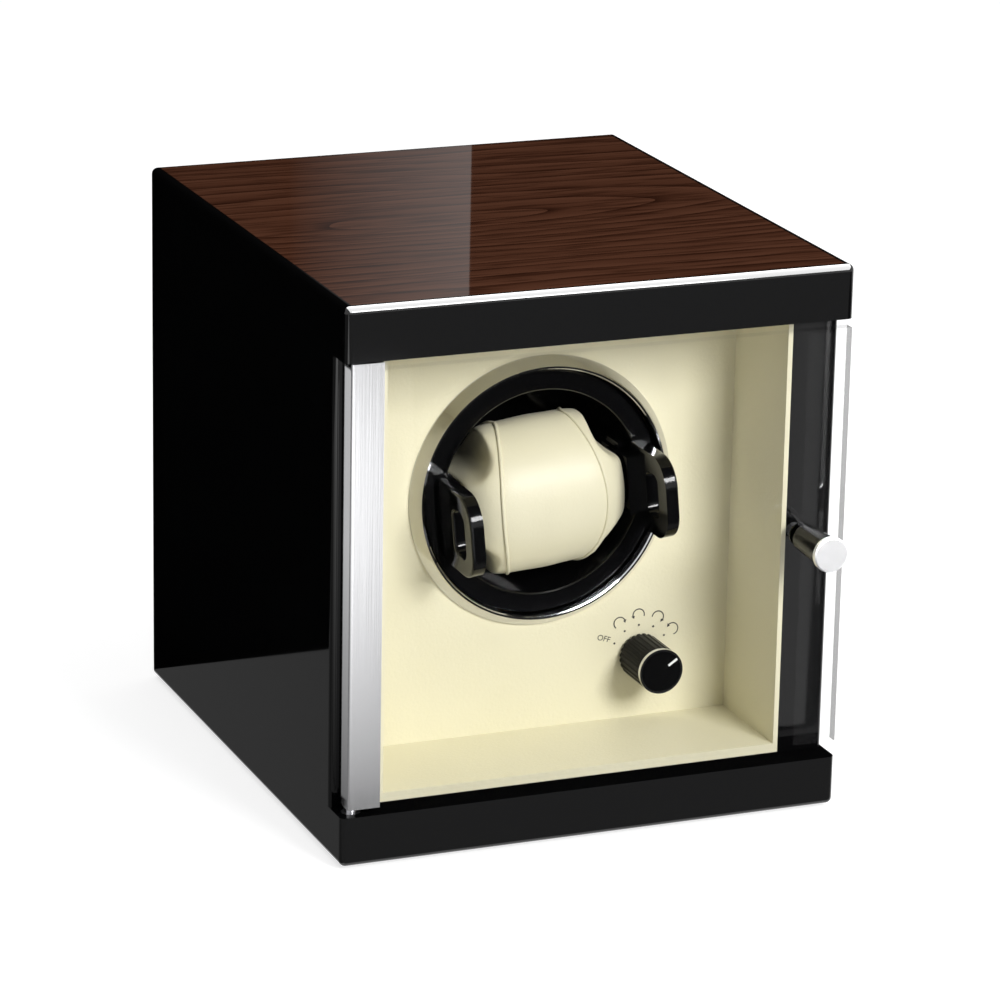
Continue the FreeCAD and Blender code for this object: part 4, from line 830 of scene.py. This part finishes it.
# %% Rear screws
REAR_FACE = 0.088
TURN_SPREAD = 1.4
TURN_SEED = 7
RANDOM_MAX, RANDOM_VALUE = 3, 1  # the number sockets of Random Value, which share names with its vectors
screw_low, screw_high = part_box("rear_panel_screws")
screw_sides = (screw_low[0] + HEAD_RADIUS, screw_high[0] - HEAD_RADIUS)
screw_middle = (screw_low[2] + screw_high[2]) / 2
screw_levels = (screw_low[2] + HEAD_RADIUS, screw_middle, screw_high[2] - HEAD_RADIUS)
places_mesh = bpy.data.meshes.new("screw_places")
places_mesh.from_pydata([(x, REAR_FACE, z) for x in screw_sides for z in screw_levels], [], [])
places = bpy.data.objects.new("screw_places", places_mesh)
scene.collection.objects.link(places)
screw_tree, screw_in, screw_out = new_tree("rear_screws", {"Turn Spread": TURN_SPREAD})
link = screw_tree.links.new
head_source = add_node(screw_tree, "GeometryNodeObjectInfo", Object=head_piece)
any_turn = add_node(screw_tree, "FunctionNodeRandomValue", Seed=TURN_SEED)
turn_vector = screw_tree.nodes.new("ShaderNodeCombineXYZ")
set_heads = screw_tree.nodes.new("GeometryNodeInstanceOnPoints")
real_heads = screw_tree.nodes.new("GeometryNodeRealizeInstances")
steel_heads = add_node(screw_tree, "GeometryNodeSetMaterial", Material=FINISHES["steel"])
link(screw_in.outputs["Turn Spread"], any_turn.inputs[RANDOM_MAX])
link(any_turn.outputs[RANDOM_VALUE], turn_vector.inputs["Y"])
link(screw_in.outputs["Geometry"], set_heads.inputs["Points"])
link(head_source.outputs["Geometry"], set_heads.inputs["Instance"])
link(turn_vector.outputs["Vector"], set_heads.inputs["Rotation"])
link(set_heads.outputs["Instances"], real_heads.inputs["Geometry"])
link(real_heads.outputs["Geometry"], steel_heads.inputs["Geometry"])
link(steel_heads.outputs["Geometry"], screw_out.inputs["Geometry"])
rear_heads = grow("rear_screw_heads", places, screw_tree, FINISHES["steel"])
bpy.data.objects.remove(head_piece)
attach(rear_heads, "case")
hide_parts("rear_panel_screws")
print("rear screw faces:", len(rear_heads.data.polygons))

# %% [markdown]
# The studio is white all round. To the camera, to mirrors and through glass the world is plain white, as an
# overexposed background is. As light it is much weaker, so that colours come out as they are written and
# the lamps can model the forms.

# %% World
WORLD_LIGHT = 0.16
WORLD_SEEN = 1.0
WHITE = (1.0, 1.0, 1.0, 1.0)


def seen_rays(tree):
    """One for rays from the camera, from a mirror or through glass, and nought for the rest."""
    rays = tree.nodes.new("ShaderNodeLightPath")
    mirror = add_node(tree, "ShaderNodeMath", rays.outputs["Is Camera Ray"], operation="MAXIMUM")
    tree.links.new(rays.outputs["Is Glossy Ray"], mirror.inputs[1])
    glass = add_node(tree, "ShaderNodeMath", mirror.outputs["Value"], operation="MAXIMUM")
    tree.links.new(rays.outputs["Is Transmission Ray"], glass.inputs[1])
    return glass.outputs["Value"]


world = bpy.data.worlds.new("studio")
world.use_nodes = True
scene.world = world
sky = world.node_tree
sky_light = sky.nodes["Background"]
sky_light.inputs["Color"].default_value = WHITE
sky_light.inputs["Strength"].default_value = WORLD_LIGHT
sky_seen = add_node(sky, "ShaderNodeBackground", Color=WHITE, Strength=WORLD_SEEN)
sky_mix = add_node(sky, "ShaderNodeMixShader", seen_rays(sky))
sky.links.new(sky_light.outputs["Background"], sky_mix.inputs[1])
sky.links.new(sky_seen.outputs["Background"], sky_mix.inputs[2])
sky.links.new(sky_mix.outputs["Shader"], sky.nodes["World Output"].inputs["Surface"])
print("world light:", WORLD_LIGHT)

# %% [markdown]
# The box stands on a sheet of paper. The sheet glows to the camera, so that it runs into the white
# background without an edge. Its own grey, lit by the lamps, makes up the rest, and so it still takes the
# soft shadow of the box.

# %% Paper
PAPER_HALF = 9
PAPER_GLOW = 0.72


def flat_sheet(name, corners, material):
    """A flat sheet of the studio, given by its corners in order."""
    mesh = bpy.data.meshes.new(name)
    mesh.from_pydata([Vector(corner) for corner in corners], [], [tuple(range(len(corners)))])
    piece = new_piece(name, mesh, material)
    return piece


def lying(x_low, y_low, x_high, y_high, z):
    """Corners of a level rectangle."""
    return [(x_low, y_low, z), (x_high, y_low, z), (x_high, y_high, z), (x_low, y_high, z)]


paper, paper_tree, paper_shader = start_finish("white_paper", (0.5, 0.5, 0.5), roughness=0.9)
paper_places = object_places(paper_tree)
paper_grain = add_node(paper_tree, "ShaderNodeTexNoise", paper_places, Scale=600.0, Detail=2.0)
add_bump(paper_tree, paper_shader, paper_grain.outputs["Fac"], distance=0.00005, strength=0.1)
paper_shader.inputs["Emission Color"].default_value = WHITE
paper_glow = add_node(paper_tree, "ShaderNodeMath", seen_rays(paper_tree), operation="MULTIPLY")
paper_glow.inputs[1].default_value = PAPER_GLOW
paper_tree.links.new(paper_glow.outputs["Value"], paper_shader.inputs["Emission Strength"])
flat_sheet("paper_floor", lying(-PAPER_HALF, -PAPER_HALF, PAPER_HALF, PAPER_HALF, 0), paper)
print("paper:", 2 * PAPER_HALF, "m across")

# %% [markdown]
# Two soft square lamps light the box. A very large one overhead fills everything evenly. A smaller one in
# front on the right looks in through the door, and it gives the pillow its shading and the knob its shadow.

# %% Lamps
def soft_lamp(name, place, aim, size, power):
    """A square lamp at a place that shines toward aim."""
    lamp_data = bpy.data.lights.new(name, "AREA")
    lamp_data.shape = "SQUARE"
    lamp_data.size = size
    lamp_data.energy = power
    lamp = bpy.data.objects.new(name, lamp_data)
    direction = Vector(aim) - Vector(place)
    lamp_turn = direction.to_track_quat("-Z", "Y").to_matrix().to_4x4()
    lamp.matrix_world = Matrix.Translation(place) @ lamp_turn
    scene.collection.objects.link(lamp)


soft_lamp("overhead", place=(0.0, -0.1, 2.2), aim=(0.0, -0.1, 0.0), size=2.6, power=36.0)
soft_lamp("key_right", place=(0.41, -1.44, 0.82), aim=(-0.02, -0.05, 0.07), size=0.55, power=25.0)
print("lamps:", len(bpy.data.lights))

# %% [markdown]
# Black lacquer only looks black when it mirrors something dark, and metal shows its form by what it
# mirrors. So a photographer stands dark and bright cards around such a box. Here a card is a sheet that
# only mirrors meet, and some also show through glass. It casts no shadow and gives no light to the rest.

# %% A card
def flag(name, corners, glow, through_glass=False, fade=None):
    """A card that only mirrors show; fade gives an axis, two places on it and two shares of the glow."""
    material = bpy.data.materials.new(name)
    material.use_nodes = True
    tree = material.node_tree
    tree.nodes.remove(tree.nodes["Principled BSDF"])
    emission = tree.nodes.new("ShaderNodeEmission")
    emission.inputs["Strength"].default_value = glow
    if fade:
        axis, first, last, first_share, last_share = fade
        split = add_node(tree, "ShaderNodeSeparateXYZ", object_places(tree))
        spread = add_node(
            tree, "ShaderNodeMapRange", split.outputs[axis],
            From_Min=first, From_Max=last, To_Min=glow * first_share, To_Max=glow * last_share,
        )
        tree.links.new(spread.outputs["Result"], emission.inputs["Strength"])
    tree.links.new(emission.outputs["Emission"], tree.nodes["Material Output"].inputs["Surface"])
    piece = flat_sheet(name, corners, material)
    piece.visible_camera = False
    piece.visible_diffuse = False
    piece.visible_shadow = False
    piece.visible_transmission = through_glass
    return piece


print("card helper ready")

# %% [markdown]
# The upright front mirrors the table before it, and the lower a piece of the front is, the nearer is the
# strip of table that it mirrors. So the strips in front are for the plinth, the door and the header in
# turn. A slanted one gives the right jamb its grey, and two cards light the front and the side of the
# aluminium stile.

# %% Cards in front
STRIP_LEFT, STRIP_RIGHT = -0.5, 0.7
STRIP_LIFT, JAMB_LIFT, STILE_LIFT = 0.0010, 0.0014, 0.0018
STILE_SIDE = -0.0788
flag("flag_plinth", lying(STRIP_LEFT, -0.135, STRIP_RIGHT, -0.091, STRIP_LIFT), 0.25, True)
flag("flag_display", lying(STRIP_LEFT, -0.585, STRIP_RIGHT, -0.135, STRIP_LIFT), 0.02, True)
flag("flag_header", lying(STRIP_LEFT, -1.2, STRIP_RIGHT, -0.585, STRIP_LIFT), 0.25, True)
flag("flag_jamb", [
    (0.0896, -0.1372, JAMB_LIFT), (0.1021, -0.1372, JAMB_LIFT),
    (0.3239, -0.5788, JAMB_LIFT), (0.3069, -0.5788, JAMB_LIFT),
], 0.75, True)
flag("card_stile", [
    (STRIP_LEFT, -0.137, STILE_LIFT), (-0.0365, -0.137, STILE_LIFT),
    (0.132, -0.585, STILE_LIFT), (STRIP_LEFT, -0.585, STILE_LIFT),
], 1.0, fade=("Y", -0.58, -0.12, 2.2, 0.2))
flag("card_stile_side", [
    (STILE_SIDE, -0.0886, 0.021), (STILE_SIDE, -0.0805, 0.021),
    (STILE_SIDE, -0.0805, 0.152), (STILE_SIDE, -0.0886, 0.152),
], 0.5, fade=("Z", 0.02, 0.1, 0.3, 1.0))
print("cards in front: 6")

# %% [markdown]
# The left side mirrors the table beside it, and the top mirrors what stands far behind. Dark cards lie and
# stand there. A low one behind the door keeps the strip of plinth under it black. In front of the tall dark
# card behind hangs a paler one that fades out to the left, and it gives the top its band of light.

# %% Cards beside and behind
def standing(x_low, x_high, y, z_low, z_high):
    """Corners of an upright rectangle that faces the front."""
    return [(x_low, y, z_low), (x_high, y, z_low), (x_high, y, z_high), (x_low, y, z_high)]


SIDE_LEFT, SIDE_RIGHT, SIDE_LIFT = -1.5, -0.081, 0.0006
BAND_LEFT, BAND_RIGHT = 0.36, 0.474
flag("flag_side_near", lying(SIDE_LEFT, -0.6, SIDE_RIGHT, 0.095, SIDE_LIFT), 0.15)
flag("flag_side_far", lying(SIDE_LEFT, 0.095, SIDE_RIGHT, 1.3, SIDE_LIFT), 0.0)
flag("flag_sill", standing(-0.081, 0.081, -0.0806, 0.0166, 0.0212), 0.0)
flag("flag_back", standing(-3.0, 3.0, 1.3, 0.0, 1.15), 0.0)
flag(
    "card_back", standing(BAND_LEFT, BAND_RIGHT, 1.2, 0.3, 0.75), 0.30,
    fade=("X", BAND_LEFT, BAND_RIGHT, 0.0, 1.0),
)
print("cards beside and behind: 5")

# %% [markdown]
# A bright card overhead draws the highlight along the bevel of the top, the cap of the door knob and the
# chrome ring. It would wash out everything else that is glossy, so light linking lets only those three
# pieces see it.

# %% Highlight card
HIGHLIT_NODES = ("top_board", "door_knob_cap", "bezel_ring")
card_above = flag(
    "card_above", [(-0.6, -2.6, 0.85), (1.2, -2.6, 0.85), (1.2, 1.25, 1.2), (-0.6, 1.25, 1.2)], 20.0,
)
highlit = bpy.data.collections.new("highlit")
for name in HIGHLIT_NODES:
    highlit.objects.link(frame["nodes"][name])
card_above.light_linking.receiver_collection = highlit
